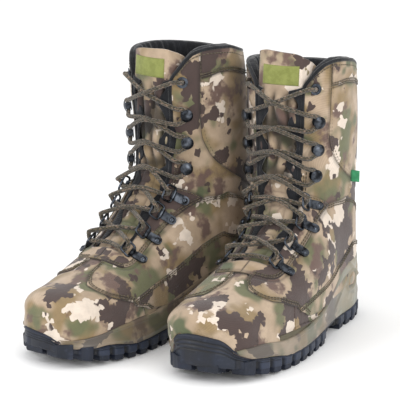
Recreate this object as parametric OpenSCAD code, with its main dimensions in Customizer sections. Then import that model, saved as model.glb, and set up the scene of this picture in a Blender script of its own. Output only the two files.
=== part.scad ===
// A pair of insulated lace-up hunting boots, built in layers from the tread to the laces.
// Boot frame: x runs forward from the back of the heel, y to the little-toe side, z up from the floor.
// Both boots are made in that frame, the right one as a mirror image, and are then set down side by side.

/* [Sole] */
// Length of the outsole
sole_length = 302; // [272:1:332]
// Width of the outsole at the ball of the foot
sole_width = 106; // [94:1:122]
// Height of the tread blocks
tread_depth = 5; // [3:0.5:8]
// Length of one tread block along the boot
tread_block = 11; // [7:0.5:14]
// Distance from one tread block to the next
tread_pitch = 17; // [16:0.5:22]
// Depth of the raised arch in front of the heel
arch_rise = 7; // [4:0.5:9]
// How far the tip of the sole curls up
toe_spring = 12; // [8:0.5:15]
// Thickness of the rubber bumper round the toe
bumper_wall = 4.2; // [2.5:0.1:6]

/* [Shaft] */
// Height of the shaft at the back, above the floor
shaft_height = 257; // [222:1:300]
// How far the top edge dips towards the laces
collar_dip = 20; // [6:1:26]
// Height of the padded roll round the top edge
collar_roll = 7; // [5:0.5:10]
// How far the tongue stands above the facings, in rows of the shaft
tongue_rise = 0.35; // [0.1:0.05:0.6]

/* [Layers] */
// Thickness of the printed outer fabric
upper_wall = 1.6; // [1.2:0.1:2.2]
// Thickness of the moulded toe and heel stiffeners
stiffener_wall = 0.9; // [0.6:0.1:1.4]
// Thickness of the insulation
insulation_wall = 3.5; // [2:0.5:7]
// Thickness of the lining
lining_wall = 1.3; // [0.8:0.1:2]
// Thickness of the fabric facings that carry the lace hardware
facing_wall = 1.3; // [0.9:0.1:2]
// Thickness of the moulded rand where it meets the sole
rand_wall = 5; // [3:0.5:6.5]
// Thickness of the padded tongue
tongue_wall = 4.8; // [3:0.2:7]
// Thickness of the footbed
footbed_wall = 4.5; // [3:0.5:6]
// Clear gap kept between neighbouring layers
layer_gap = 0.08; // [0.05:0.01:0.15]

/* [Lacing] */
// Diameter of the lace
lace_d = 4.2; // [3:0.1:4.6]
// Wire diameter of the swivelling rings
ring_wire = 2.2; // [1.8:0.1:2.6]
// Width of a ring over its wire centres
ring_width = 15; // [14:0.5:18]
// Reach of a ring from its hinge bar to its far bar
ring_reach = 11; // [10:0.5:14]
// Radial running clearance between a ring's bar and its clip
ring_clearance = 0.05; // [0.03:0.01:0.1]
// How far a ring stands up from the facing, in degrees
ring_lift = 30; // [26:1:36]
// Width of the clip that holds a ring
clip_width = 8.5; // [7:0.1:9]
// Length of the clip from the hinge bar to its rivet
clip_length = 12; // [9:0.5:15]
// Diameter of the domed head of a speed hook
hook_d = 12; // [10:0.5:14]
// Inside radius of the top eyelets
eyelet_r = 2.8; // [2.4:0.1:3.2]

/* [Pair] */
// Turn of the left boot, toe outwards, in degrees
left_turn = 8; // [0:0.5:12]
// Turn of the right boot, toe outwards, in degrees
right_turn = 8; // [0:0.5:12]
// Distance between the backs of the heels
heel_spacing = 83; // [83:1:140]
// How far the right boot stands ahead of the left one
right_ahead = 31; // [0:1:40]

/* [Hidden] */
PARTS = [
    "outsole", "midsole", "shank", "insole_board", "footbed", "vamp", "quarters", "leg_panel",
    "rand", "eyestays", "stiffeners", "insulation", "lining", "tongue", "gusset", "collar",
    "ring_clips", "rivets", "hooks", "eyelets", "lace", "aglets"
];
RINGS = [for (end = ["lateral", "medial"]) for (k = [1:4]) str("ring_", end, "_", k)];
eps = 0.01;
centre_x = 0; // moves the pair so that its box is centred on the origin
centre_y = 151.1;

// The last that the upper is pulled over, as sections from the toe to the top of the shaft.
// Each row: top x, z; bottom (or back) x, z; half width; middle y; height of the widest place as a
// share; and the powers that round the section above, below and at the sides.
LAST = [
    [298, 50, 299, 47, 1, -8, 0.45, 0.9, 0.6, 0.8],
    [296, 58, 297, 40, 20, -9, 0.42, 0.9, 0.6, 0.8],
    [291, 63.5, 290, 38, 31, -9, 0.38, 0.9, 0.55, 0.75],
    [279, 68, 277, 36, 40, -8.5, 0.35, 0.92, 0.5, 0.7],
    [255, 71, 256, 34.5, 45, -7, 0.34, 0.96, 0.5, 0.7],
    [228, 79, 231, 33.5, 47, -4, 0.34, 1, 0.5, 0.7],
    [200, 90.5, 205, 32.5, 46.5, -0.5, 0.34, 1.05, 0.5, 0.7],
    [178, 103, 176, 32, 45, 3, 0.36, 1.08, 0.5, 0.7],
    [159.5, 117.5, 142, 32, 45, 5, 0.4, 1.08, 0.55, 0.7],
    [147, 133.5, 104, 32, 45.5, 4, 0.45, 1.05, 0.6, 0.75],
    [141.5, 148.5, 62, 32, 45.3, 1.6, 0.47, 1, 0.65, 0.8],
    [140.5, 159, 24, 33, 45.2, 0, 0.48, 0.95, 0.7, 0.85],
    [140.5, 169, 10, 50, 45.6, -0.3, 0.49, 0.92, 0.8, 0.9],
    [139.5, 182, 10, 86, 46, 0, 0.5, 0.9, 0.9, 0.95],
    [139.5, 198, 11.5, 125, 47, 0.3, 0.5, 0.88, 0.95, 1],
    [140.5, 215, 12, 162, 48, 0.6, 0.5, 0.88, 0.95, 1],
    [142, 230.5, 16, 197, 49, 1, 0.5, 0.88, 0.95, 1],
    [141, 246, 21, 229, 49.2, 1.3, 0.5, 0.88, 0.95, 1],
    [139.5, 261, 27, 257, 49, 1.6, 0.5, 0.88, 0.95, 1]
];
LAST_LENGTH = 302; // the sizes that the rows above are written for
LAST_WIDTH = 106;
LAST_HEIGHT = 257;
TOP = len(LAST) - 1; // row number of the top edge
ANKLE_Z = 150; // rows above this height stretch with the shaft

// Rows of the last where one piece ends and the next begins
THROAT_ROW = 6; // front end of the lacing
HEEL_ROW = 11; // last row that has a bottom; the rows above it have a back instead
LEG_ROW = 14; // row where the throat stops widening
seam = 0.02; // rows left open where two pieces of one layer meet
ROLL_ROW = TOP - collar_roll / 16; // lower edge of the collar roll

// Outline of the outsole, little-toe side first
SOLE = [
    [304, -9], [298, 12], [277, 33], [242, 46], [197, 52], [140, 49], [85, 43], [45, 42], [15, 31],
    [0, 2], [11, -27], [45, -39], [90, -39], [140, -42], [195, -52], [236, -54], [273, -46], [297, -28]
];

kx = sole_length / LAST_LENGTH;
ky = sole_width / LAST_WIDTH;

function lift(z) = z <= ANKLE_Z ? z
    : ANKLE_Z + (z - ANKLE_Z) * (shaft_height - ANKLE_Z) / (LAST_HEIGHT - ANKLE_Z);
function spline(a, b, c, d, f) =
    0.5 * (2 * b + (c - a) * f + (2 * a - 5 * b + 4 * c - d) * f * f + (3 * b - 3 * c + d - a) * f * f * f);
function section(s) =
    let (i = min(max(floor(s), 0), TOP - 1), b = LAST[i], c = LAST[i + 1])
    spline(i == 0 ? 2 * b - c : LAST[i - 1], b, c, i == TOP - 1 ? 2 * c - b : LAST[i + 2], s - i);

// A point of the upper's outer face: s is the row, t the angle round the section, 0 at the front
function skin(s, t) =
    let (
        q = section(s),
        wide = [q[2] + q[6] * (q[0] - q[2]), q[3] + q[6] * (q[1] - q[3])],
        front = cos(t) >= 0,
        end = front ? [q[0], q[1]] : [q[2], q[3]],
        u = pow(abs(cos(t)), front ? q[7] : q[8]),
        v = sign(sin(t)) * pow(abs(sin(t)), front ? 1 : q[9]),
        xz = wide + (end - wide) * u
    )
    [xz[0] * kx, (q[5] + q[4] * v) * ky, lift(xz[1])];
function unit(v) = v / norm(v);
function along(s, t) = unit(skin(s + 0.05, t) - skin(s - 0.05, t));
function round_way(s, t) = unit(skin(s, t + 1) - skin(s, t - 1));
function outward(s, t) = unit(cross(round_way(s, t), along(s, t)));
function off_skin(s, t, d) = skin(s, t) + d * outward(s, t);

// Columns 0 to 12 run from the front to the bottom or back; 24 comes round to the front again.
// 2 is the edge of the facing, 4 its sewn edge, 9 the top of the rand, 11 the edge of the sole.
function blend(a, b, s, s0, s1) = a + (b - a) * min(max((s - s0) / (s1 - s0), 0), 1);
function throat(s) = blend(24, 29, s, THROAT_ROW, LEG_ROW);
function facing(s) = throat(s) + blend(34, 37, s, THROAT_ROW, LEG_ROW);
function rand_top(s) = blend(106, facing(s) + (180 - facing(s)) * 5 / 8, s, HEEL_ROW - 1.5, HEEL_ROW + 1);
function rand_low(s) = blend(130, facing(s) + (180 - facing(s)) * 6 / 8, s, HEEL_ROW - 1.5, HEEL_ROW + 1);
function sole_edge(s) = blend(154, facing(s) + (180 - facing(s)) * 7 / 8, s, HEEL_ROW - 1.5, HEEL_ROW + 1);
COLUMN_STOPS = [0, 1, 2, 3, 4, 9, 10, 11, 12];
function column_angles(s) =
    [0, throat(s) * 0.6, throat(s), (throat(s) + facing(s)) / 2, facing(s),
        rand_top(s), rand_low(s), sole_edge(s), 180];
function angle(s, j) =
    j < 0 ? -angle(s, -j)
    : j > 12 ? 360 - angle(s, 24 - j)
    : lookup(j, [for (k = [0:8]) [COLUMN_STOPS[k], column_angles(s)[k]]]);

// The rows sink near the top edge, so that it dips towards the laces
ROW_HEIGHT = 16;
function sunk(s, t, dip) =
    s <= TOP - 3 ? s : s - dip / ROW_HEIGHT * pow((s - TOP + 3) / 3, 2) * pow(max(cos(t), 0), 4);

// A closed piece of the upper between two depths, over some rows and columns of the last.
// outer is one depth, or one for each column.
module layer(rows, cols, outer, inner, dip = collar_dip) {
    nr = len(rows);
    nc = len(cols);
    points = [
        for (face = [outer, inner]) for (s = rows) for (c = [0:nc - 1])
            let (t = angle(s, cols[c])) off_skin(sunk(s, t, dip), t, is_list(face) ? face[c] : face)
    ];
    half = nr * nc;
    function at(i, j) = i * nc + j;
    quads = [
        for (i = [0:nr - 2]) for (j = [0:nc - 2])
            [at(i, j), at(i + 1, j), at(i + 1, j + 1), at(i, j + 1)],
        for (i = [0:nr - 2]) for (j = [0:nc - 2])
            [half + at(i, j), half + at(i, j + 1), half + at(i + 1, j + 1), half + at(i + 1, j)],
        for (i = [0:nr - 2]) [at(i + 1, 0), at(i, 0), half + at(i, 0), half + at(i + 1, 0)],
        for (i = [0:nr - 2])
            [at(i, nc - 1), at(i + 1, nc - 1), half + at(i + 1, nc - 1), half + at(i, nc - 1)],
        for (j = [0:nc - 2]) [at(0, j), at(0, j + 1), half + at(0, j + 1), half + at(0, j)],
        for (j = [0:nc - 2])
            [at(nr - 1, j + 1), at(nr - 1, j), half + at(nr - 1, j), half + at(nr - 1, j + 1)]
    ];
    polyhedron(points, [for (q = quads) each [[q[0], q[1], q[2]], [q[0], q[2], q[3]]]]);
}

// The same all the way round, for columns 0 to 23
module sleeve(rows, outer, inner) {
    nr = len(rows);
    nc = 24;
    points = [
        for (d = [outer, inner]) for (s = rows) for (j = [0:nc - 1]) off_skin(s, angle(s, j), d)
    ];
    half = nr * nc;
    function at(i, j) = i * nc + j % nc;
    quads = [
        for (i = [0:nr - 2]) for (j = [0:nc - 1])
            [at(i, j), at(i + 1, j), at(i + 1, j + 1), at(i, j + 1)],
        for (i = [0:nr - 2]) for (j = [0:nc - 1])
            [half + at(i, j), half + at(i, j + 1), half + at(i + 1, j + 1), half + at(i + 1, j)],
        for (j = [0:nc - 1]) [at(0, j), at(0, j + 1), half + at(0, j + 1), half + at(0, j)],
        for (j = [0:nc - 1])
            [at(nr - 1, j + 1), at(nr - 1, j), half + at(nr - 1, j), half + at(nr - 1, j + 1)]
    ];
    polyhedron(points, [for (q = quads) each [[q[0], q[1], q[2]], [q[0], q[2], q[3]]]]);
}
// From a to b, with every whole number in between
function steps(a, b) = concat([a], [for (j = [floor(a) + 1:1:ceil(b) - 1]) j], [b]);
function mirrored(c) = [for (i = [len(c) - 1:-1:0]) -c[i]];
module both_ways(s_rows, c_cols, outer, inner) {
    layer(s_rows, c_cols, outer, inner);
    layer(s_rows, mirrored(c_cols),
        is_list(outer) ? [for (i = [len(outer) - 1:-1:0]) outer[i]] : outer, inner);
}

// Depths of the layers below the outer face
d_stiff = -upper_wall - layer_gap;
d_insulation = d_stiff - stiffener_wall - layer_gap;
d_lining = d_insulation - insulation_wall - layer_gap;
d_inside = d_lining - lining_wall;
d_tongue = d_insulation - layer_gap;
d_facing = facing_wall + layer_gap;

// ---- Sole ----
function spring(x) =
    let (ball = 205 * kx)
    x > ball ? toe_spring * pow((x - ball) / (sole_length - ball), 2) : 0;
function ring_points(p) =
    let (n = len(p))
    [for (i = [0:n - 1]) for (f = [0, 0.25, 0.5, 0.75])
        spline(p[(i + n - 1) % n], p[i], p[(i + 1) % n], p[(i + 2) % n], f)];
sole_outline = ring_points([for (p = SOLE) [p[0] * kx, p[1] * ky]]);
function inset(pts, d) =
    let (n = len(pts))
    [for (i = [0:n - 1])
        let (e = unit(pts[(i + 1) % n] - pts[(i + n - 1) % n])) pts[i] + d * [-e[1], e[0]]];
module plan(depth, h) linear_extrude(h) polygon(inset(sole_outline, depth));
// Everything between two side-view lines, right across the boot
module profile(points) rotate([90, 0, 0]) linear_extrude(2 * sole_width, center = true) polygon(points);

deck = 22; // top of the outsole where the midsole lies on it
heel_front = 92 * kx;
arch_front = 132 * kx;
bumper_back = 238 * kx; // behind this the toe rubber gives way to the midsole
function last_bottom(i) = [LAST[i][2] * kx, LAST[i][3] - layer_gap];
function deck_at(x) =
    deck + max(x - 205 * kx, 0) / (bumper_back - 205 * kx) * spring(bumper_back);
mid_deck = [for (i = [HEEL_ROW:-1:5]) last_bottom(i)];
tread_base = [
    for (x = [-20, 0, heel_front, heel_front + 6]) [x, tread_depth + (x > heel_front ? arch_rise : 0)],
    [arch_front - 8, tread_depth + arch_rise],
    for (x = [arch_front, 205 * kx, 225 * kx, 245 * kx, 265 * kx, 285 * kx, sole_length + 5])
        [x, tread_depth + spring(x)]
];
function reversed(p) = [for (i = [len(p) - 1:-1:0]) p[i]];

module tread_row(x0, x1) {
    for (x = [x0:tread_pitch:x1 - tread_block + eps])
        translate([x, spring(x)]) square([tread_block, tread_depth + 3]);
}
module tread() {
    difference() {
        intersection() {
            plan(0, 40);
            rotate([90, 0, 0]) linear_extrude(2 * sole_width, center = true) {
                tread_row(7 * kx, heel_front);
                tread_row(arch_front + 4, sole_length - 4);
            }
        }
        for (y = [-14, 12]) translate([-5, y * ky, -1]) cube([sole_length + 10, 5, tread_depth + 1]);
    }
}
module outsole() {
    color("#24272b") {
        tread();
        intersection() {
            plan(0, 60);
            profile(concat(tread_base, [
                [sole_length + 5, LAST[0][3] - layer_gap],
                for (i = [0:4]) last_bottom(i),
                [bumper_back, deck_at(bumper_back)],
                [205 * kx, deck], [-20, deck]
            ]));
        }
        both_ways([0, 1, 2, 3, 4, 4.6], [9, 10, 11], bumper_wall, layer_gap);
    }
}
module shank_shape(grow) {
    translate([62 * kx, 1 - shank_width / 2 - grow, shank_z - grow])
        cube([shank_length + 2 * grow, shank_width + 2 * grow, shank_thickness + 2 * grow]);
}
shank_length = 95 * kx;
shank_width = 16;
shank_thickness = 1.5;
shank_z = 27;
module midsole() {
    color("#55503f") difference() {
        intersection() {
            plan(2, 60);
            profile(concat([[-20, deck + layer_gap], [205 * kx, deck + layer_gap],
                [bumper_back - 3, deck_at(bumper_back - 3) + layer_gap],
                [bumper_back - 3, LAST[5][3] - layer_gap]], reversed(mid_deck),
                [[-20, last_bottom(HEEL_ROW)[1]]]));
        }
        shank_shape(layer_gap);
    }
}
module shank() {
    color("#8c9096") shank_shape(0);
}
module insole_board() {
    color("#8a7558") both_ways(steps(2, HEEL_ROW), [11.1, 12], -layer_gap, -upper_wall);
}
module footbed() {
    color("#4a4d45") layer(steps(3, HEEL_ROW), steps(10, 14), d_inside - layer_gap,
        d_inside - layer_gap - footbed_wall);
}

// ---- Upper ----
module vamp() {
    color("#857354") layer(steps(0, THROAT_ROW), steps(-11, 11), 0, -upper_wall);
}
module quarters() {
    color("#77684b") both_ways(steps(THROAT_ROW + seam, HEEL_ROW), steps(2, 11), 0, -upper_wall);
}
module leg_panel() {
    color("#8d7b5a") difference() {
        layer(steps(HEEL_ROW + seam, ROLL_ROW), steps(2, 22), 0, -upper_wall);
        eyelet_holes();
    }
}
module rand() {
    taper = [layer_gap + 1, (rand_wall + 1) / 2, rand_wall];
    around_heel = [for (j = [9:15]) taper[min(j - 9, 15 - j, 1)]];
    color("#6d6a55") difference() {
        union() {
            both_ways(steps(4.8, HEEL_ROW), [9, 10, 11], taper, layer_gap);
            layer([HEEL_ROW + seam, HEEL_ROW + 1], steps(9, 15), around_heel, layer_gap);
        }
        profile(concat([[-30, 0], [-30, last_bottom(HEEL_ROW)[1] + layer_gap]],
            [for (p = mid_deck) p + [0, layer_gap]], [[bumper_back, last_bottom(4)[1]], [bumper_back, 0]]));
    }
}
module eyestays() {
    color("#6c5f45") difference() {
        union() {
            both_ways(steps(THROAT_ROW, LEG_ROW), [2, 3, 4], d_facing, layer_gap);
            both_ways(steps(LEG_ROW, ROLL_ROW), [2, 3, 4], d_facing, layer_gap);
        }
        eyelet_holes();
    }
}
module stiffeners() {
    color("#a39a84") {
        layer(steps(0, 3), steps(-9, 9), d_stiff, d_stiff - stiffener_wall);
        layer(steps(HEEL_ROW, HEEL_ROW + 2), steps(7, 17), d_stiff, d_stiff - stiffener_wall);
    }
}
// A whole sock for the foot, and a sleeve with an open front above it
module sock(outer, inner) {
    sleeve(steps(0, THROAT_ROW), outer, inner);
    layer(steps(THROAT_ROW, ROLL_ROW), steps(3, 21), outer, inner);
}
module insulation() {
    color("#c9c2ae") sock(d_insulation, d_insulation - insulation_wall);
}
module lining() {
    color("#1d1e20") sock(d_lining, d_inside);
}
module tongue() {
    color("#7a6b4e") layer(steps(THROAT_ROW + 0.1, TOP + tongue_rise),
        steps(-2, 2), d_tongue, d_tongue - tongue_wall, 0);
}
module gusset() {
    color("#17181a")
        both_ways(steps(THROAT_ROW + 0.1, TOP - 2), [1, 2, 3], d_stiff, d_stiff - stiffener_wall + 0.1);
}
module collar() {
    color("#15161a") layer([ROLL_ROW + seam, (ROLL_ROW + TOP) / 2, TOP], steps(3, 21), 0.3, d_inside - 0.3);
}

// ---- Lace hardware ----
// Row and angle of each piece of hardware, from the front ring to the top eyelet
RING_PLACES = [[6.3, 33], [7.45, 34], [8.6, 35], [9.8, 37]];
HOOK_PLACES = [[12.3, 41], [13.75, 42], [15.15, 42]];
EYELET_PLACE = [16.9, 41];
base_z = d_facing - 0.25; // hardware is pressed a little into the facing

// Puts a piece on the facing: x along the throat, y away from it, z outwards
module on_skin(place, side) {
    s = place[0];
    t = side * place[1];
    a = along(s, t);
    n = outward(s, t);
    b = cross(a, n);
    o = skin(s, t);
    multmatrix([
        [-side * a[0], side * b[0], n[0], o[0]],
        [-side * a[1], side * b[1], n[1], o[1]],
        [-side * a[2], side * b[2], n[2], o[2]],
        [0, 0, 0, 1]
    ]) children();
}
// The same place as a point, for the lace: a up the throat, b away from it, c outwards
function from_skin(place, side, a, b, c) =
    let (s = place[0], t = side * place[1], up = along(s, t), n = outward(s, t))
    skin(s, t) + a * up + side * b * cross(up, n) + c * n;

bar_r = ring_wire / 2;
knuckle_r = bar_r + ring_clearance + 1.1;
hinge_z = base_z + knuckle_r;
clip_wall = 1.8;
rivet_hole_r = 1.3;
ring_bend = 2.5;
$fn = 32;

module eyelet_holes() {
    for (side = [1, -1])
        on_skin(EYELET_PLACE, side) translate([0, 0, d_inside - 3]) cylinder(r = eyelet_r + 0.4, h = 15);
}
module ring_clip(place, side) {
    on_skin(place, side) difference() {
        union() {
            translate([-clip_width / 2, 0, hinge_z]) rotate([0, 90, 0])
                cylinder(r = knuckle_r, h = clip_width);
            translate([-clip_width / 2, 0, base_z]) cube([clip_width, clip_length, clip_wall]);
            translate([0, clip_length, base_z]) cylinder(r = clip_width / 2, h = clip_wall);
        }
        translate([-clip_width, 0, hinge_z]) rotate([0, 90, 0])
            cylinder(r = bar_r + ring_clearance, h = 2 * clip_width);
        translate([0, clip_length, base_z - 1]) cylinder(r = rivet_hole_r, h = clip_wall + 2);
    }
}
module ring_clips() {
    color("#2b2d31") for (side = [1, -1]) for (place = RING_PLACES) ring_clip(place, side);
}
module dome(r, h) {
    ball_r = (r * r + h * h) / (2 * h);
    intersection() {
        translate([0, 0, h - ball_r]) sphere(r = ball_r);
        cylinder(r = r, h = h + 1);
    }
}
module rivets() {
    color("#5a5e64") for (side = [1, -1]) for (place = RING_PLACES)
        on_skin(place, side) translate([0, clip_length, base_z]) {
            cylinder(r = rivet_hole_r - 0.03, h = clip_wall + 0.2);
            translate([0, 0, clip_wall + 0.02]) dome(2.7, 1.3);
        }
}
// One ring: the straight hinge bar lies in the clip and the far bar holds the lace
module ring(k, side) {
    w = ring_width / 2 - ring_bend;
    l = ring_reach - ring_bend;
    color("#3c3f44") on_skin(RING_PLACES[k], side) translate([0, 0, hinge_z]) rotate([-ring_lift, 0, 0]) {
        for (y = [0, -ring_reach])
            translate([-w, y, 0]) rotate([0, 90, 0]) cylinder(r = bar_r, h = 2 * w);
        for (x = [-ring_width / 2, ring_width / 2])
            translate([x, -l, 0]) rotate([-90, 0, 0]) cylinder(r = bar_r, h = l - ring_bend);
        for (corner = [[w, -ring_bend, 0], [-w, -ring_bend, 90], [-w, -l, 180], [w, -l, 270]])
            translate([corner[0], corner[1], 0]) rotate([0, 0, corner[2]])
                rotate_extrude(angle = 90) translate([ring_bend, 0]) circle(r = bar_r);
    }
}
hook_neck = 6;
hook_gap = lace_d + 0.8; // room for the lace under the dome
hook_base = 0.8;
module hooks() {
    color("#1f2226") for (side = [1, -1]) for (place = HOOK_PLACES)
        on_skin(place, side) translate([0, 0, base_z]) {
        translate([0, 2, 0]) cylinder(r = hook_d / 2 - 0.6, h = hook_base);
        translate([-hook_neck / 2, -1.2, 0]) cube([hook_neck, 1.2, hook_base + hook_gap + 0.8]);
        translate([0, 2, hook_base + hook_gap]) dome(hook_d / 2, 2);
    }
}
module eyelets() {
    color("#4b4f55") for (side = [1, -1]) on_skin(EYELET_PLACE, side) difference() {
        union() {
            translate([0, 0, d_facing + 0.02]) cylinder(r = eyelet_r + 2.6, h = 1);
            translate([0, 0, d_inside]) cylinder(r = eyelet_r + 0.3, h = d_facing - d_inside + 0.5);
        }
        translate([0, 0, d_inside - 1]) cylinder(r = eyelet_r, h = 20);
    }
}

// ---- Lace ----
// One lace crosses the throat from the front rings to the top eyelets, and both ends go down inside.
lace_r = lace_d / 2;
far_y = -ring_reach * cos(ring_lift);
far_z = hinge_z + ring_reach * sin(ring_lift);
turn_r = bar_r + lace_r + 0.95; // the lace turns round a ring's far bar at this distance
hook_z = base_z + hook_base + hook_gap / 2;
edge_z = d_facing + lace_r + 0.6; // height of the lace where it leaves the facing's edge
function through_ring(k, side) = [
    for (turn = [[-115, -3], [-60, -2.2], [-10, -0.5], [40, 1.5], [95, 3]])
        from_skin(RING_PLACES[k], side, turn[1], far_y + turn_r * cos(turn[0]), far_z + turn_r * sin(turn[0]))
];
function round_hook(k, side) =
    let (clear = hook_neck / 2 + lace_r + 0.5)
    [
        from_skin(HOOK_PLACES[k], side, -clear - 2.5, -10, edge_z),
        from_skin(HOOK_PLACES[k], side, -clear - 0.8, -2.5, hook_z + 0.6),
        from_skin(HOOK_PLACES[k], side, -clear + 1.4, lace_r - 0.2, hook_z),
        from_skin(HOOK_PLACES[k], side, 0, lace_r + 1.2, hook_z),
        from_skin(HOOK_PLACES[k], side, clear - 1.4, lace_r - 0.2, hook_z),
        from_skin(HOOK_PLACES[k], side, clear + 0.8, -2.5, hook_z + 0.6),
        from_skin(HOOK_PLACES[k], side, clear + 2.5, -10, edge_z)
    ];
// Where the two strands cross between two rows, one above the other
function crossing(s, high) = off_skin(s, 0, 4.5 + (high ? lace_r + 0.5 : -lace_r - 0.2));
CROSSINGS = [6.9, 8.05, 9.25, 11, 13.05, 14.45, 16];
tail = [
    [16.75, 43, -4], [16.3, 46, -1.2], [15.3, 50, -0.6], [14.2, 53, -0.6], [13.3, 55, -0.6], [12.6, 57, -0.6]
];
function strand(side) = [
    for (k = [0:3]) let (end = k % 2 == 0 ? side : -side)
        each concat(through_ring(k, end), [crossing(CROSSINGS[k], (k % 2 == 0) == (side > 0))]),
    for (k = [0:2]) let (end = k % 2 == 0 ? side : -side)
        each concat(round_hook(k, end), [crossing(CROSSINGS[4 + k], (k % 2 == 0) == (side > 0))]),
    for (step = [[-10, edge_z + 0.6], [-2.6, 5], [-0.2, 2.6], [0, 0], [0, -4], [0, d_inside - 2]])
        from_skin(EYELET_PLACE, -side, 0, step[0], step[1]),
    for (p = tail) off_skin(p[0], -side * p[1], d_inside - lace_r - 0.6 + p[2])
];
function lace_route() =
    concat(reversed(strand(-1)), [off_skin(6.2, 0, 3.4)], strand(1));
// Smooth points a few millimetres apart along the route
function smooth(p, step) =
    let (n = len(p))
    [
        for (i = [0:n - 2])
            let (
                a = i == 0 ? 2 * p[0] - p[1] : p[i - 1],
                d = i == n - 2 ? 2 * p[n - 1] - p[n - 2] : p[i + 2],
                m = max(1, round(norm(p[i + 1] - p[i]) / step))
            )
            for (k = [0:m - 1]) spline(a, p[i], p[i + 1], d, k / m),
        p[n - 1]
    ];
module tube(p, r, sides) {
    n = len(p);
    dir = [for (i = [0:n - 1]) unit(p[min(i + 1, n - 1)] - p[max(i - 1, 0)])];
    start = unit(cross(dir[0], [1, 0.2, 0.1]));
    across = [for (i = 0, u = start; i < n;
        i = i + 1, u = i < n ? unit(u - (u * dir[i]) * dir[i]) : u) u];
    points = [
        for (i = [0:n - 1]) let (v = cross(dir[i], across[i])) for (k = [0:sides - 1])
            p[i] + r * (cos(360 * k / sides) * across[i] + sin(360 * k / sides) * v)
    ];
    function at(i, k) = i * sides + k % sides;
    polyhedron(points, [
        for (i = [0:n - 2]) for (k = [0:sides - 1])
            each [[at(i, k), at(i + 1, k), at(i + 1, k + 1)], [at(i, k), at(i + 1, k + 1), at(i, k + 1)]],
        [for (k = [0:sides - 1]) k],
        [for (k = [sides - 1:-1:0]) at(n - 1, k)]
    ]);
}
lace_line = smooth(lace_route(), 9);
aglet_length = 20;
module lace() {
    color("#5a4d3a") tube(lace_line, lace_r, 8);
}
module aglets() {
    n = len(lace_line);
    color("#26221c") for (end = [[lace_line[0], lace_line[1]], [lace_line[n - 1], lace_line[n - 2]]])
        let (way = unit(end[0] - end[1]))
        tube([end[0] + layer_gap * way, end[0] + aglet_length * way], lace_r + 0.1, 12);
}

// ---- The pair ----
module left() {
    translate([heel_spacing / 2 + centre_x, centre_y + right_ahead / 2, 0])
        rotate([0, 0, left_turn - 90]) children();
}
module right() {
    translate([centre_x - heel_spacing / 2, centre_y - right_ahead / 2, 0]) rotate([0, 0, -right_turn - 90])
        mirror([0, 1, 0]) children();
}
left() outsole();  // left_outsole
left() midsole();  // left_midsole
left() shank();  // left_shank
left() insole_board();  // left_insole_board
left() footbed();  // left_footbed
left() vamp();  // left_vamp
left() quarters();  // left_quarters
left() leg_panel();  // left_leg_panel
left() rand();  // left_rand
left() eyestays();  // left_eyestays
left() stiffeners();  // left_stiffeners
left() insulation();  // left_insulation
left() lining();  // left_lining
left() tongue();  // left_tongue
left() gusset();  // left_gusset
left() collar();  // left_collar
left() ring_clips();  // left_ring_clips
left() rivets();  // left_rivets
left() hooks();  // left_hooks
left() eyelets();  // left_eyelets
left() lace();  // left_lace
left() aglets();  // left_aglets
left() ring(0, 1);  // left_ring_lateral_1
left() ring(1, 1);  // left_ring_lateral_2
left() ring(2, 1);  // left_ring_lateral_3
left() ring(3, 1);  // left_ring_lateral_4
left() ring(0, -1);  // left_ring_medial_1
left() ring(1, -1);  // left_ring_medial_2
left() ring(2, -1);  // left_ring_medial_3
left() ring(3, -1);  // left_ring_medial_4
right() outsole();  // right_outsole
right() midsole();  // right_midsole
right() shank();  // right_shank
right() insole_board();  // right_insole_board
right() footbed();  // right_footbed
right() vamp();  // right_vamp
right() quarters();  // right_quarters
right() leg_panel();  // right_leg_panel
right() rand();  // right_rand
right() eyestays();  // right_eyestays
right() stiffeners();  // right_stiffeners
right() insulation();  // right_insulation
right() lining();  // right_lining
right() tongue();  // right_tongue
right() gusset();  // right_gusset
right() collar();  // right_collar
right() ring_clips();  // right_ring_clips
right() rivets();  // right_rivets
right() hooks();  // right_hooks
right() eyelets();  // right_eyelets
right() lace();  // right_lace
right() aglets();  // right_aglets
right() ring(0, 1);  // right_ring_lateral_1
right() ring(1, 1);  // right_ring_lateral_2
right() ring(2, 1);  // right_ring_lateral_3
right() ring(3, 1);  // right_ring_lateral_4
right() ring(0, -1);  // right_ring_medial_1
right() ring(1, -1);  // right_ring_medial_2
right() ring(2, -1);  // right_ring_medial_3
right() ring(3, -1);  // right_ring_medial_4
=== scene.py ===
import math
import bmesh
import bpy
import numpy as np
from mathutils.kdtree import KDTree
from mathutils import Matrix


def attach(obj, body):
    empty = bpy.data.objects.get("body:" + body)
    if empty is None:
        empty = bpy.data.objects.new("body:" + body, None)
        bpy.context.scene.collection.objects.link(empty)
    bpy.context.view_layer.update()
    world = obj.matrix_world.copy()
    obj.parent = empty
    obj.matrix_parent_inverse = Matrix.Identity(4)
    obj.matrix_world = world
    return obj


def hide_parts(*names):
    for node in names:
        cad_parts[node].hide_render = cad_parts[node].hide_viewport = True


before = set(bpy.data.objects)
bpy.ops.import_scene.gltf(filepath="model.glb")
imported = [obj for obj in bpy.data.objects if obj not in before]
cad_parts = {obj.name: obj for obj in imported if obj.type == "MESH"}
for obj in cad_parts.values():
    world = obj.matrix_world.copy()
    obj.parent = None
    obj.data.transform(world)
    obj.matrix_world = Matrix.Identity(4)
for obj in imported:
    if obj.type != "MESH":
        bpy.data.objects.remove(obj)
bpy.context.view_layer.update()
print("frame loaded")

pairPlace = {
    "turn": 8.0,        # degrees that each toe points outwards
    "heelSpacing": 83.0,
    "rightAhead": 31.0,
    "centreY": 151.1,
}


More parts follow.
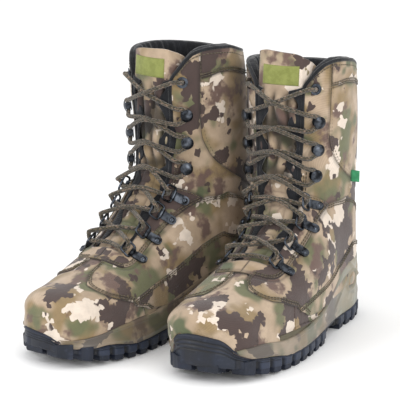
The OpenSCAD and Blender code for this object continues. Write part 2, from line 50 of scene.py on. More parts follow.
def toWorld(side, points):
    # boot frame in mm to the shared frame in metres
    p = np.array(points, float)
    sign = 1 if side == "left" else -1
    turn = math.radians(sign * pairPlace["turn"] - 90)
    x = p[..., 0]
    y = p[..., 1] * sign
    wx = math.cos(turn) * x - math.sin(turn) * y + sign * pairPlace["heelSpacing"] / 2
    wy = math.sin(turn) * x + math.cos(turn) * y + pairPlace["centreY"] + sign * pairPlace["rightAhead"] / 2
    return np.stack([wx, wy, p[..., 2]], -1) / 1000


cameraSet = {"azimuth": 32.37, "elevation": 14.02, "distance": 2.82, "aim": (-0.0001, -0.0054, 0.125),
             "lens": 270.0, "sensor": 36, "shift": (-0.005, 0.0247)}


def makeCamera(s):
    az, el = math.radians(s["azimuth"]), math.radians(s["elevation"])
    back = np.array([math.sin(az) * math.cos(el), -math.cos(az) * math.cos(el), math.sin(el)])
    data = bpy.data.cameras.new("camera")
    data.lens = s["lens"]
    data.sensor_width = s["sensor"]
    data.shift_x, data.shift_y = s["shift"]
    data.clip_end = 50
    cam = bpy.data.objects.new("camera", data)
    cam.location = np.array(s["aim"]) + back * s["distance"]
    cam.rotation_euler = (math.pi / 2 - el, 0, az)
    bpy.context.collection.objects.link(cam)
    bpy.context.scene.camera = cam


makeCamera(cameraSet)
print("camera placed")

# the last: one row for each section from the toe to the top of the shaft
# top x, z; bottom (or back) x, z; half width; middle y; widest share; rounding above, below, sides
lastRows = np.array([
    [298, 50, 299, 47, 1, -8, 0.45, 0.9, 0.6, 0.8],
    [296, 58, 297, 40, 20, -9, 0.42, 0.9, 0.6, 0.8],
    [291, 63.5, 290, 38, 31, -9, 0.38, 0.9, 0.55, 0.75],
    [279, 68, 277, 36, 40, -8.5, 0.35, 0.92, 0.5, 0.7],
    [255, 71, 256, 34.5, 45, -7, 0.34, 0.96, 0.5, 0.7],
    [228, 79, 231, 33.5, 47, -4, 0.34, 1, 0.5, 0.7],
    [200, 90.5, 205, 32.5, 46.5, -0.5, 0.34, 1.05, 0.5, 0.7],
    [178, 103, 176, 32, 45, 3, 0.36, 1.08, 0.5, 0.7],
    [159.5, 117.5, 142, 32, 45, 5, 0.4, 1.08, 0.55, 0.7],
    [147, 133.5, 104, 32, 45.5, 4, 0.45, 1.05, 0.6, 0.75],
    [141.5, 148.5, 62, 32, 45.3, 1.6, 0.47, 1, 0.65, 0.8],
    [140.5, 159, 24, 33, 45.2, 0, 0.48, 0.95, 0.7, 0.85],
    [140.5, 169, 10, 50, 45.6, -0.3, 0.49, 0.92, 0.8, 0.9],
    [139.5, 182, 10, 86, 46, 0, 0.5, 0.9, 0.9, 0.95],
    [139.5, 198, 11.5, 125, 47, 0.3, 0.5, 0.88, 0.95, 1],
    [140.5, 215, 12, 162, 48, 0.6, 0.5, 0.88, 0.95, 1],
    [142, 230.5, 16, 197, 49, 1, 0.5, 0.88, 0.95, 1],
    [141, 246, 21, 229, 49.2, 1.3, 0.5, 0.88, 0.95, 1],
    [139.5, 261, 27, 257, 49, 1.6, 0.5, 0.88, 0.95, 1],
])
topRow = 18
padRows = np.vstack([2 * lastRows[0] - lastRows[1], lastRows, 2 * lastRows[-1] - lastRows[-2]])


def spline(a, b, c, d, f):
    square = 2 * a - 5 * b + 4 * c - d
    cube = 3 * b - 3 * c + d - a
    return 0.5 * (2 * b + (c - a) * f + square * f * f + cube * f ** 3)


def section(s):
    i = np.clip(np.floor(s).astype(int), 0, topRow - 1)
    f = (s - i)[..., None]
    return spline(padRows[i], padRows[i + 1], padRows[i + 2], padRows[i + 3], f)


def skin(s, t):
    # point of the upper's outer face: s is the row, t the angle round it in degrees, 0 in front
    s, t = np.broadcast_arrays(np.asarray(s, float), np.radians(np.asarray(t, float)))
    q = section(s)
    ct, st = np.cos(t), np.sin(t)
    front = ct >= 0
    wideX = q[..., 2] + q[..., 6] * (q[..., 0] - q[..., 2])
    wideZ = q[..., 3] + q[..., 6] * (q[..., 1] - q[..., 3])
    endX = np.where(front, q[..., 0], q[..., 2])
    endZ = np.where(front, q[..., 1], q[..., 3])
    u = np.abs(ct) ** np.where(front, q[..., 7], q[..., 8])
    v = np.sign(st) * np.abs(st) ** np.where(front, 1, q[..., 9])
    return np.stack([wideX + (endX - wideX) * u, q[..., 5] + q[..., 4] * v, wideZ + (endZ - wideZ) * u], -1)


def ramp(a, b, s, s0, s1):
    return a + (b - a) * np.clip((s - s0) / (s1 - s0), 0, 1)


columnStops = [0, 1, 2, 3, 4, 9, 10, 11, 12]


def angle(s, j):
    # columns: 0 in front, 2 the edge of the facing, 9 the top of the rand, 11 the sole edge, 12 the back
    s, j = np.broadcast_arrays(np.asarray(s, float), np.asarray(j, float))
    throat = ramp(24, 29, s, 6, 14)
    facing = throat + ramp(34, 37, s, 6, 14)
    zero = 0 * s
    stops = [zero, throat * 0.6, throat, (throat + facing) / 2, facing,
             ramp(106, facing + (180 - facing) * 5 / 8, s, 9.5, 12),
             ramp(130, facing + (180 - facing) * 6 / 8, s, 9.5, 12),
             ramp(154, facing + (180 - facing) * 7 / 8, s, 9.5, 12), zero + 180]
    sign = np.where(j < 0, -1, 1)
    jj = np.abs(j)
    behind = jj > 12
    jj = np.where(behind, 24 - jj, jj)
    out = zero
    for k in range(8):
        f = (jj - columnStops[k]) / (columnStops[k + 1] - columnStops[k])
        here = (jj >= columnStops[k]) & (jj <= columnStops[k + 1])
        out = np.where(here, stops[k] + (stops[k + 1] - stops[k]) * f, out)
    return sign * np.where(behind, 360 - out, out)


def sunk(s, t, dip=20):
    # the rows sink in front near the top, so that the edge dips towards the laces
    front = np.maximum(np.cos(np.radians(t)), 0) ** 4
    return np.where(s <= topRow - 3, s, s - dip / 16 * np.maximum((s - topRow + 3) / 3, 0) ** 2 * front)


# the sole outline, and the flare of the upper down to it
soleStops = np.array([
    [304, -9], [298, 12], [277, 33], [242, 46], [197, 52], [140, 49], [85, 43], [45, 42], [15, 31],
    [0, 2], [11, -27], [45, -39], [90, -39], [140, -42], [195, -52], [236, -54], [273, -46], [297, -28],
], float)
outlineSteps = 44


def closedSpline(p, steps):
    out = []
    for i in range(len(p)):
        a, b, c, d = p[i - 1], p[i], p[(i + 1) % len(p)], p[(i + 2) % len(p)]
        out += [spline(a, b, c, d, f / steps) for f in range(steps)]
    return np.array(out)


outline = closedSpline(soleStops, outlineSteps)
outlineCount = len(outline)
tangent = np.roll(outline, -3, 0) - np.roll(outline, 3, 0)
tangent /= np.linalg.norm(tangent, axis=1)[:, None]
outNormal = np.stack([-tangent[:, 1], tangent[:, 0]], 1)
if ((outline - outline.mean(0)) * outNormal).sum() < 0:
    outNormal = -outNormal


def mapOutline():
    # nearest outline step for each cell of a 2 mm map laid under the boot
    x, y = np.meshgrid(np.arange(-40, 344, 2.0), np.arange(-100, 102, 2.0), indexing="ij")
    flat = np.stack([x.ravel(), y.ravel()], 1)
    near = ((flat[:, None, :] - outline[None]) ** 2).sum(-1).argmin(1)
    return near.reshape(x.shape)


outlineMap = mapOutline()


def nearestOutline(xy):
    flat = xy.reshape(-1, 2)
    i = np.clip(np.round((flat[:, 0] + 40) / 2).astype(int), 0, outlineMap.shape[0] - 1)
    j = np.clip(np.round((flat[:, 1] + 100) / 2).astype(int), 0, outlineMap.shape[1] - 1)
    near = (outlineMap[i, j][:, None] + np.arange(-9, 10)[None, :]) % outlineCount
    best = ((flat[:, None, :] - outline[near]) ** 2).sum(-1).argmin(1)
    return near[np.arange(len(flat)), best].reshape(xy.shape[:-1])


def smoothRing(a, width):
    kernel = np.hanning(width + 2)[1:-1]
    kernel /= kernel.sum()
    half = width // 2
    return np.convolve(np.concatenate([a[-half:], a, a[:half]]), kernel, "valid")


levels = np.arange(20, 92, 1.0)


def measureSkin():
    # how far inside the outline the skin stands, for each outline point and height
    s, j = np.meshgrid(np.linspace(0, 14, 500), np.linspace(-12, 12, 900), indexing="ij")
    p = skin(s, angle(s, j)).reshape(-1, 3)
    p = p[(p[:, 2] > 20) & (p[:, 2] < 91)]
    k = nearestOutline(p[:, :2])
    inside = -((p[:, :2] - outline[k]) * outNormal[k]).sum(1)
    level = np.round(p[:, 2] - 20).astype(int)
    table = np.full((outlineCount, len(levels)), 999.0)
    np.minimum.at(table, (k, level), inside)
    wideIn = np.zeros(outlineCount)
    wideZ = np.zeros(outlineCount)
    for i in range(outlineCount):
        row = table[i]
        good = row < 900
        row = np.interp(levels, levels[good], row[good])
        zone = (levels > 36) & (levels < 78)
        best = np.argmin(np.where(zone, row, 999))
        wideIn[i] = row[best]
        wideZ[i] = levels[best]
        table[i] = row
    wideIn = smoothRing(wideIn, 41)
    wideZ = smoothRing(wideZ, 61)
    for c in range(len(levels)):
        table[:, c] = smoothRing(table[:, c], 21)
    return table, wideIn, wideZ


insideTable, wideIn, wideZ = measureSkin()
soleLine = {"flareFoot": 24.0, "inset": 0.8}


def flaredInside(k, z):
    # inward distance of the finished surface: the skin above its widest place, a flare below it
    x = np.clip((z - soleLine["flareFoot"]) / (wideZ[k] - soleLine["flareFoot"]), 0, 1)
    low = soleLine["inset"] + (wideIn[k] - soleLine["inset"]) * (1 - (1 - x) ** 2)
    zi = np.clip(z - 20, 0, len(levels) - 1.001)
    i0 = np.floor(zi).astype(int)
    high = insideTable[k, i0] * (1 - (zi - i0)) + insideTable[k, i0 + 1] * (zi - i0)
    mix = np.clip((z - wideZ[k]) / 6, 0, 1)
    return low + (np.maximum(high, low) - low) * mix * mix * (3 - 2 * mix)


def flare(p):
    p = p.copy()
    k = nearestOutline(p[..., :2])
    inside = -((p[..., :2] - outline[k]) * outNormal[k]).sum(-1)
    x = np.clip((p[..., 2] - soleLine["flareFoot"]) / (wideZ[k] - soleLine["flareFoot"]), 0, 1)
    wanted = soleLine["inset"] + (wideIn[k] - soleLine["inset"]) * (1 - (1 - x) ** 2)
    move = np.where(p[..., 2] < wideZ[k], inside - wanted, 0)
    p[..., 0] += outNormal[k][..., 0] * move
    p[..., 1] += outNormal[k][..., 1] * move
    return p


# how far the soft top edge stands above or below the last, by angle from the front; each boot's
# collar has been pulled up differently on its inner and outer side
rimShape = {"angles": [0, 25, 36, 44, 51, 64, 80, 95, 117, 150, 180],
            "left": ([0, 0, 1, 1.5, 1.5, 1, 1, 0, -4, -7, -7], [0, 1.5, 4, 7, 8.5, 8.5, 7, 4, -4, -7, -7]),
            "right": ([0, 1.5, 5, 10, 13, 14, 14, 13, 7, 1, 0], [0, 1, 2, 4, 5, 5, 5, 5, 4, 2, 0])}
boot = {"side": "left"}


def upperPoint(s, j):
    t = angle(s, j)
    p = skin(sunk(s, t), t)
    t = (t + 180) % 360 - 180
    inner, outer = [np.interp(np.abs(t), rimShape["angles"], rise) for rise in rimShape[boot["side"]]]
    rise = np.where(t > 0, outer, inner)
    f = np.clip((s - 15) / 3, 0, 1)
    p[..., 2] += rise * f * f * (3 - 2 * f)
    return p


def unit(v):
    return v / (np.linalg.norm(v, axis=-1, keepdims=True) + 1e-12)


def upperNormal(s, j):
    ds = upperPoint(s + 0.06, j) - upperPoint(s - 0.06, j)
    dj = upperPoint(s, j + 0.18) - upperPoint(s, j - 0.18)
    return unit(np.cross(dj, ds))


def onUpper(s, j, d=0.0, flared=True):
    s, j = np.broadcast_arrays(np.asarray(s, float), np.asarray(j, float))
    n = upperNormal(s, j)
    p = upperPoint(s, j)
    if flared:
        p = flare(p)
    return p + np.asarray(d)[..., None] * n if np.ndim(d) else p + d * n


def onBand(k, z, d=0.0):
    # point of the lower surface at outline step k and height z, moved outwards by d
    k = np.asarray(k) % outlineCount
    inside = flaredInside(k, z) - d
    xy = outline[k] - outNormal[k] * inside[..., None]
    return np.concatenate([xy, np.broadcast_to(z, inside.shape)[..., None]], -1)


def softNoise(x, y, seed=0):
    # sum of a few waves, used for wrinkles that don't repeat
    rng = np.random.default_rng(seed)
    out = 0
    for _ in range(7):
        a, b, c = rng.normal(0, 1, 3)
        out = out + np.sin(x * a + y * b + c * 9)
    return out / 4.0


# materials
def hexColour(text):
    parts = [int(text[i:i + 2], 16) / 255 for i in (1, 3, 5)]
    return tuple(c / 12.92 if c <= 0.04045 else ((c + 0.055) / 1.055) ** 2.4 for c in parts) + (1.0,)


def addNode(tree, kind, settings=None, inputs=None):
    # settings are the node's own; each input takes a value or another node's output
    node = tree.nodes.new(kind)
    for name, value in (settings or {}).items():
        setattr(node, name, value)
    for name, value in (inputs or {}).items():
        if isinstance(value, bpy.types.NodeSocket):
            tree.links.new(value, node.inputs[name])
        else:
            node.inputs[name].default_value = value
    return node


def startMaterial(name, settings):
    m = bpy.data.materials.new(name)
    m.use_nodes = True
    tree = m.node_tree
    tree.nodes.clear()
    out = tree.nodes.new("ShaderNodeOutputMaterial")
    shader = addNode(tree, "ShaderNodeBsdfPrincipled", None, settings)
    tree.links.new(shader.outputs[0], out.inputs[0])
    return m, tree, shader


def mottle(tree, coord, perMetre, detail, rough, shift=0.0):
    # soft clouds of the size 1 / perMetre, moved by shift so that no two are alike
    moved = addNode(tree, "ShaderNodeMapping", None,
                    {"Location": (shift, shift * 0.7, -shift * 0.4), "Vector": coord}).outputs[0]
    return addNode(tree, "ShaderNodeTexNoise", None,
                   {"Scale": perMetre, "Detail": detail, "Roughness": rough, "Vector": moved}).outputs["Fac"]


def masksOf(tree, rows):
    # a mask for each row of a value and the two levels between which it rises from 0 to 1
    masks = []
    for value, low, high in rows:
        masks.append(addNode(tree, "ShaderNodeMapRange", {"interpolation_type": "SMOOTHSTEP"},
                             {"Value": value, "From Min": low, "From Max": high}).outputs[0])
    return masks


def paint(tree, base, layers):
    # each layer: its colour, the value that says where it lies, the levels that value is cut between,
    # and its share; a layer without a colour darkens what lies below by the cut value
    for colour, where, cut, share in layers:
        colour = hexColour(colour) if isinstance(colour, str) else colour
        if cut:
            where = masksOf(tree, [(where, *cut)])[0]
        if colour is None:
            inputs = {0: share, 6: base, 7: where}
        elif where is None:
            inputs = {0: share, 6: base, 7: colour}
        elif share < 1:
            part = addNode(tree, "ShaderNodeMath", {"operation": "MULTIPLY"}, {0: where, 1: share}).outputs[0]
            inputs = {0: part, 6: base, 7: colour}
        else:
            inputs = {0: where, 6: base, 7: colour}
        mode = "MULTIPLY" if colour is None else "MIX"
        base = addNode(tree, "ShaderNodeMix", {"data_type": "RGBA", "blend_type": mode}, inputs).outputs[2]
    return base


def finishSurface(tree, shader, colour, reliefs, roughBy=None, rough=None):
    # joins the colour, a roughness that follows a value, and reliefs of height, strength and distance
    tree.links.new(colour, shader.inputs["Base Color"])
    if roughBy:
        inputs = {"Value": roughBy, "To Min": rough[0], "To Max": rough[1]}
        spread = addNode(tree, "ShaderNodeMapRange", None, inputs)
        tree.links.new(spread.outputs[0], shader.inputs["Roughness"])
    normal = None
    for height, strength, distance in reliefs:
        inputs = {"Height": height, "Strength": strength, "Distance": distance}
        if normal:
            inputs["Normal"] = normal
        normal = addNode(tree, "ShaderNodeBump", None, inputs).outputs[0]
    tree.links.new(normal, shader.inputs["Normal"])


# "edge" is 1 on a seam, a turned edge, a fold crease or a recess, where dirt and shadow gather; edgeShadow is
# the colour of that painted shade and dirt
edgeShadow = "#1d1a14"
camoColours = {
    "tan": "#ae987f", "sand": "#bda78f", "ochre": "#917b58", "olive": "#6b6c4d", "moss": "#5b6145",
    "brown": "#4c3d39", "umber": "#6c564d", "cream": "#e2d3c3",
}
# sprayed grounds: colour, clouds per metre, detail, roughness, shift, levels
camoGrounds = [
    ("sand", 22, 2, 0.5, 0, (0.38, 0.6)), ("ochre", 26, 2, 0.5, 3, (0.48, 0.62)),
    ("olive", 24, 2, 0.55, 6, (0.5, 0.62)), ("moss", 30, 2, 0.55, 9, (0.6, 0.7)),
    ("umber", 34, 4, 0.55, 15, (0.53, 0.62)),
]


def camoColour(tree, coord, shift):
    # blurred sprayed grounds, then hard-edged brown and cream patches with small islands
    base = hexColour(camoColours["tan"])
    for name, perMetre, detail, rough, further, cut in camoGrounds:
        where = mottle(tree, coord, perMetre, detail, rough, shift + further)
        base = paint(tree, base, [(camoColours[name], where, cut, 1)])
    # cell-snapped lookup gives the patches their lobed edge
    cells = addNode(tree, "ShaderNodeTexVoronoi", None, {"Scale": 230.0, "Vector": coord}).outputs["Position"]
    lookup = addNode(tree, "ShaderNodeMix", {"data_type": "VECTOR"}, {0: 0.72, 4: coord, 5: cells}).outputs[1]
    patch = mottle(tree, lookup, 27, 4, 0.5, shift + 12)
    beside = mottle(tree, lookup, 20, 2, 0.5, shift + 21)
    lone = mottle(tree, lookup, 30, 4, 0.5, shift + 30)
    brown, near, paleSide, palePatch, bare = masksOf(tree, [
        (patch, 0.545, 0.552), (patch, 0.515, 0.521), (beside, 0.555, 0.562), (lone, 0.66, 0.667),
        (beside, 0.585, 0.592)])
    rim = addNode(tree, "ShaderNodeMath", {"operation": "MULTIPLY"}, {0: near, 1: paleSide}).outputs[0]
    cream = addNode(tree, "ShaderNodeMath", {"operation": "MAXIMUM"}, {0: rim, 1: palePatch}).outputs[0]
    rest = addNode(tree, "ShaderNodeMath", {"operation": "SUBTRACT"}, {0: 1.0, 1: bare}).outputs[0]
    brown = addNode(tree, "ShaderNodeMath", {"operation": "MULTIPLY"}, {0: brown, 1: rest}).outputs[0]
    return paint(tree, base, [(camoColours["cream"], cream, None, 1), (camoColours["brown"], brown, None, 1)])


def twillFabric(name, shift):
    # printed polyester twill: soft sheen, a fine diagonal rib, patches with printed edges
    m, tree, shader = startMaterial(name, {"Roughness": 0.78, "IOR": 1.5, "Sheen Weight": 0.25,
                                           "Sheen Roughness": 0.5, "Specular IOR Level": 0.35})
    coord = addNode(tree, "ShaderNodeTexCoord").outputs["Object"]
    cloth = addNode(tree, "ShaderNodeAttribute", {"attribute_name": "cloth"}).outputs["Vector"]
    edge = addNode(tree, "ShaderNodeAttribute", {"attribute_name": "edge"}).outputs["Fac"]
    diagonal = {"Rotation": (0, 0, math.radians(38)), "Vector": cloth}
    turned = addNode(tree, "ShaderNodeMapping", None, diagonal).outputs[0]
    # real ribs are 0.5 mm apart; drawn 1 mm apart so that they show
    rib = addNode(tree, "ShaderNodeTexWave", {"wave_type": "BANDS"},
                  {"Scale": 0.314 / 0.001, "Distortion": 0.2, "Detail": 1.0, "Detail Scale": 2.0,
                   "Vector": turned}).outputs["Fac"]
    mottled = mottle(tree, coord, 130, 3, 0.6)
    # the last layer is painted shade and dirt along seams, panel edges and fold creases
    colour = paint(tree, camoColour(tree, coord, shift), [
        (None, rib, (-0.9, 1.0), 0.2), (None, mottled, (0.1, 0.8), 0.22), (edgeShadow, edge, None, 0.8)])
    reliefs = [(rib, 0.35, 0.0003), (mottle(tree, coord, 1400, 2, 0.6), 0.25, 0.0002),
               (mottle(tree, coord, 60, 3, 0.6, 5), 0.5, 0.0012)]
    finishSurface(tree, shader, colour, reliefs, mottled, (0.66, 0.9))
    return m


def mouldedRubber(name, colour, worn, rough):
    # moulded carbon-filled rubber: satin face, paler scuffs in scattered spots, paler blue-grey on the raised
    # lugs and rib, fine mould texture
    m, tree, shader = startMaterial(name, {"IOR": 1.52, "Specular IOR Level": 0.38})
    coord = addNode(tree, "ShaderNodeTexCoord").outputs["Object"]
    raised = addNode(tree, "ShaderNodeAttribute", {"attribute_name": "raised"}).outputs["Fac"]
    edge = addNode(tree, "ShaderNodeAttribute", {"attribute_name": "edge"}).outputs["Fac"]
    cloud = mottle(tree, coord, 45, 4, 0.6)
    scuff = masksOf(tree, [(mottle(tree, coord, 180, 5, 0.7, 4), 0.55, 0.75)])[0]
    # the last layer is painted shade and dirt in the tread gaps, the toe grooves, under the sole and at its
    # turned top
    colour = paint(tree, hexColour(colour), [
        (worn, cloud, (0.35, 0.7), 1), ("#4d566c", scuff, None, 0.3), ("#3c465b", raised, None, 0.35),
        (edgeShadow, edge, None, 0.8)])
    finishSurface(tree, shader, colour, [(mottle(tree, coord, 900, 3, 0.6), 0.3, 0.0002),
                                         (mottle(tree, coord, 120, 3, 0.5), 0.25, 0.0006)],
                  cloud, (rough - 0.12, rough + 0.16))
    return m


def printedRubber(name, shift, grey):
    # film-printed moulded rubber: the camouflage under a smooth satin skin, greyer at the heel
    m, tree, shader = startMaterial(name, {"IOR": 1.5, "Coat Weight": 0.25, "Coat Roughness": 0.25,
                                           "Specular IOR Level": 0.55})
    coord = addNode(tree, "ShaderNodeTexCoord").outputs["Object"]
    heel = addNode(tree, "ShaderNodeAttribute", {"attribute_name": "heel"}).outputs["Fac"]
    edge = addNode(tree, "ShaderNodeAttribute", {"attribute_name": "edge"}).outputs["Fac"]
    stone = paint(tree, hexColour(grey), [("#8e8672", mottle(tree, coord, 34, 3, 0.6, 2), (0.35, 0.65), 1)])
    # the last layer is painted shade and dirt in the hollows of the heel swirl and along the rand's top
    colour = paint(tree, camoColour(tree, coord, shift), [
        ("#5d594f", None, None, 0.55), (stone, heel, None, 0.8), (edgeShadow, edge, None, 0.55)])
    finishSurface(tree, shader, colour, [(mottle(tree, coord, 700, 2, 0.5), 0.15, 0.0002),
                                         (mottle(tree, coord, 70, 3, 0.5), 0.25, 0.001)],
                  mottle(tree, coord, 90, 4, 0.6), (0.32, 0.55))
    return m


def threadScale(threadMm):
    # bands per metre of the wave node for threads this far apart
    return 1000 / threadMm / 3.3


def wovenBlack(name, colour, threadMm):
    # black padded weave: matt, small even grain, slightly fuzzy at grazing angles
    m, tree, shader = startMaterial(name, {"Roughness": 0.85, "Sheen Weight": 0.4, "Sheen Roughness": 0.4,
                                           "Specular IOR Level": 0.3})
    coord = addNode(tree, "ShaderNodeTexCoord").outputs["Object"]
    warp, weft = [addNode(tree, "ShaderNodeTexWave", {"bands_direction": way},
                          {"Scale": threadScale(threadMm), "Vector": coord}).outputs["Fac"] for way in "XZ"]
    weave = addNode(tree, "ShaderNodeMath", {"operation": "MULTIPLY"}, {0: warp, 1: weft}).outputs[0]
    colour = paint(tree, hexColour(colour), [
        ("#2c2e33", mottle(tree, coord, 60, 4, 0.6), (0.3, 0.75), 1), (None, weave, (-0.4, 0.8), 0.45)])
    reliefs = [(weave, 0.5, 0.0004), (mottle(tree, coord, 90, 4, 0.6), 0.6, 0.0015)]
    finishSurface(tree, shader, colour, reliefs)
    return m


def platedSteel(name, colour, rough, metallic=1.0):
    # plated or lacquered steel: dark mirror with fine handling marks and rubbed edges
    m, tree, shader = startMaterial(name, {"Metallic": metallic})
    coord = addNode(tree, "ShaderNodeTexCoord").outputs["Object"]
    marks = mottle(tree, coord, 420, 5, 0.7)
    cloud = mottle(tree, coord, 150, 3, 0.6, 2)
    colour = paint(tree, hexColour(colour), [("#565b63", cloud, (0.35, 0.7), 1)])
    finishSurface(tree, shader, colour, [(marks, 0.12, 0.0002)], marks, (rough - 0.08, rough + 0.15))
    return m


def braidedCord(name):
    # round polyester braid: olive-brown yarns with flecks of pink-tan, crossing at a steep pitch
    m, tree, shader = startMaterial(name, {"Roughness": 0.75, "Sheen Weight": 0.3,
                                           "Specular IOR Level": 0.35})
    cloth = addNode(tree, "ShaderNodeAttribute", {"attribute_name": "cloth"}).outputs["Vector"]
    run, roundIt = addNode(tree, "ShaderNodeSeparateXYZ", None, {0: cloth}).outputs[:2]
    # one runs along the cord in metres, the other round it from 0 to 1; yarns repeat every 3 mm
    along, turn = [addNode(tree, "ShaderNodeMath", {"operation": "MULTIPLY"}, {0: value, 1: rate}).outputs[0]
                   for value, rate in ((run, 2 * math.pi / 0.003), (roundIt, 2 * math.pi * 4))]
    strands = []
    for way in ("ADD", "SUBTRACT"):
        wave = addNode(tree, "ShaderNodeMath", {"operation": way}, {0: along, 1: turn}).outputs[0]
        strands.append(addNode(tree, "ShaderNodeMath", {"operation": "SINE"}, {0: wave}).outputs[0])
    yarn = addNode(tree, "ShaderNodeMath", {"operation": "MAXIMUM"}, dict(enumerate(strands))).outputs[0]
    stretched = {"Scale": (330.0, 8.0, 1.0), "Vector": cloth}
    fleckAt = addNode(tree, "ShaderNodeMapping", None, stretched).outputs[0]
    fleck = addNode(tree, "ShaderNodeTexNoise", None,
                    {"Scale": 1.0, "Detail": 1.0, "Vector": fleckAt}).outputs["Fac"]
    colour = paint(tree, hexColour("#332e22"), [
        ("#544c38", fleck, (0.42, 0.5), 1), ("#806a59", fleck, (0.56, 0.6), 1),
        (None, yarn, (-0.6, 0.9), 0.55)])
    finishSurface(tree, shader, colour, [(yarn, 0.8, 0.0005)])
    return m


def plainWeave(name, colour, other, rough, threadMm):
    # narrow woven or knitted goods: even thread grid with a little colour drift
    m, tree, shader = startMaterial(name, {"Roughness": rough, "Sheen Weight": 0.2})
    coord = addNode(tree, "ShaderNodeTexCoord").outputs["Object"]
    thread = addNode(tree, "ShaderNodeTexWave", {"bands_direction": "DIAGONAL"},
                     {"Scale": threadScale(threadMm), "Vector": coord}).outputs["Fac"]
    colour = paint(tree, hexColour(colour), [
        (other, mottle(tree, coord, 160, 4, 0.6), (0.35, 0.65), 1), (None, thread, (-0.5, 1.0), 0.3)])
    reliefs = [(thread, 0.4, 0.0003), (mottle(tree, coord, 500, 3, 0.6), 0.4, 0.0004)]
    finishSurface(tree, shader, colour, reliefs)
    return m


materials = {
    "toe": twillFabric("printedTwillToe", 1.3),
    "side": twillFabric("printedTwillSide", 7.1),
    "heel": twillFabric("printedTwillHeel", 13.7),
    "stay": twillFabric("printedTwillStay", 19.9),
    "shaft": twillFabric("printedTwillShaft", 25.1),
    "rear": twillFabric("printedTwillRear", 31.4),
    "band": twillFabric("printedTwillBand", 37.2),
    "tongue": twillFabric("printedTwillTongue", 77.0),
    "rand": printedRubber("printedMouldedRubber", 51.0, "#757a6b"),
    "sole": mouldedRubber("mouldedCarbonRubber", "#0f1521", "#1a2132", 0.5),
    "midsole": mouldedRubber("mouldedFoamRubber", "#565040", "#6b6450", 0.7),
    "lining": wovenBlack("brushedLiningKnit", "#15171b", 1.6),
    "padded": wovenBlack("paddedBlackWeave", "#17181c", 1.2),
    "piping": wovenBlack("wovenPipingTape", "#141518", 0.9),
    "blackSteel": platedSteel("blackLacqueredSteel", "#16181c", 0.28, 0.85),
    "gunmetal": platedSteel("gunmetalPlatedSteel", "#34383e", 0.24),
    "lace": braidedCord("roundPolyesterBraid"),
    "thread": plainWeave("olivePolyesterThread", "#4a412e", "#63573e", 0.6, 0.5),
    "label": plainWeave("wovenGreenLabel", "#767c36", "#868c45", 0.7, 0.8),
    "tag": plainWeave("wovenGreenTag", "#2f8a5c", "#3fa06c", 0.7, 0.8),
    "felt": plainWeave("pressedFelt", "#4a4d45", "#5b5e54", 0.95, 1.5),
    "board": plainWeave("pressedFibreBoard", "#8a7558", "#9a8566", 0.9, 1.4),
    "batting": plainWeave("loftedFibre", "#c9c2ae", "#b9b19b", 0.95, 2.4),
    "plastic": mouldedRubber("thermoplasticSheet", "#a39a84", "#b5ac96", 0.5),
    "springSteel": platedSteel("rolledSpringSteel", "#8c9096", 0.3),
    "aglet": mouldedRubber("lacqueredTip", "#26221c", "#332e26", 0.25),
}
print("materials made")

# pieces: a part is a tuple of points in mm in the boot's frame, faces, and attributes by point
sides = ("left", "right")


def onBoth(report, *makers):
    # makes a piece for each boot, with the boot's own top edge
    for side in sides:
        boot["side"] = side
        for make in makers:
            make(side)
    print(report)


def makePiece(side, name, part, material, replaced=None):
    # a piece that stands with its boot, in place of a plain solid where one is named
    points, faces, attributes = part
    name = side + "_" + name
    mesh = bpy.data.meshes.new(name)
    p = toWorld(side, points).reshape(-1, 3)
    mesh.from_pydata(p.tolist(), [], [tuple(reversed(f)) if side == "right" else tuple(f) for f in faces])
    for key, values in attributes.items():
        values = np.asarray(values, float)
        kind = "FLOAT_VECTOR" if values.ndim > 1 and values.shape[-1] == 3 else "FLOAT"
        layer = mesh.attributes.new(key, kind, "POINT")
        layer.data.foreach_set("vector" if kind == "FLOAT_VECTOR" else "value", values.reshape(-1))
    mesh.materials.append(materials[material])
    work = bmesh.new()
    work.from_mesh(mesh)
    bmesh.ops.recalc_face_normals(work, faces=work.faces)
    work.to_mesh(mesh)
    work.free()
    mesh.shade_smooth()
    mesh.update()
    ob = bpy.data.objects.new(name, mesh)
    bpy.context.collection.objects.link(ob)
    if replaced:
        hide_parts(side + "_" + replaced)
    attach(ob, side + "_boot")
    return ob


def thicken(ob, metres):
    # gives a single sheet its thickness, inwards
    solid = ob.modifiers.new("thickness", "SOLIDIFY")
    solid.thickness = metres
    solid.offset = -1


def gridFaces(nr, nc, wrapCols=False, start=0):
    i, j = np.meshgrid(np.arange(nr - 1), np.arange(nc if wrapCols else nc - 1), indexing="ij")
    a = start + i * nc + j
    b = start + (i + 1) * nc + j
    jn = (j + 1) % nc
    c = start + (i + 1) * nc + jn
    d = start + i * nc + jn
    return np.stack([a, b, c, d], -1).reshape(-1, 4).tolist()


def arcLengths(p):
    # cloth coordinates in metres of a grid of points in mm
    along = np.zeros(p.shape[:2])
    along[1:] = np.cumsum(np.linalg.norm(np.diff(p, axis=0), axis=2), axis=0)
    across = np.zeros(p.shape[:2])
    across[:, 1:] = np.cumsum(np.linalg.norm(np.diff(p, axis=1), axis=2), axis=1)
    across -= across[:, p.shape[1] // 2][:, None]
    return np.stack([across, along, 0 * along], -1) / 1000


def closedSheet(top, under, cloth=None, **single):
    # closed part from the points of an outer and an inner grid; both get the same attributes
    nr, nc = top.shape[:2]
    half = nr * nc
    faces = gridFaces(nr, nc)
    faces += [tuple(reversed(f)) for f in gridFaces(nr, nc, False, half)]
    corners = np.arange(half).reshape(nr, nc)
    sidesOf = (corners[::-1, 0], corners[:, -1], corners[0], corners[-1, ::-1])
    for line in sidesOf:
        faces += [(a, b, half + b, half + a) for a, b in zip(line[:-1].tolist(), line[1:].tolist())]
    attributes = {key: np.concatenate([values.reshape(-1)] * 2) for key, values in single.items()}
    if cloth is not None:
        attributes["cloth"] = np.concatenate([cloth.reshape(-1, 3)] * 2)
    return np.concatenate([top.reshape(-1, 3), under.reshape(-1, 3)]), faces, attributes


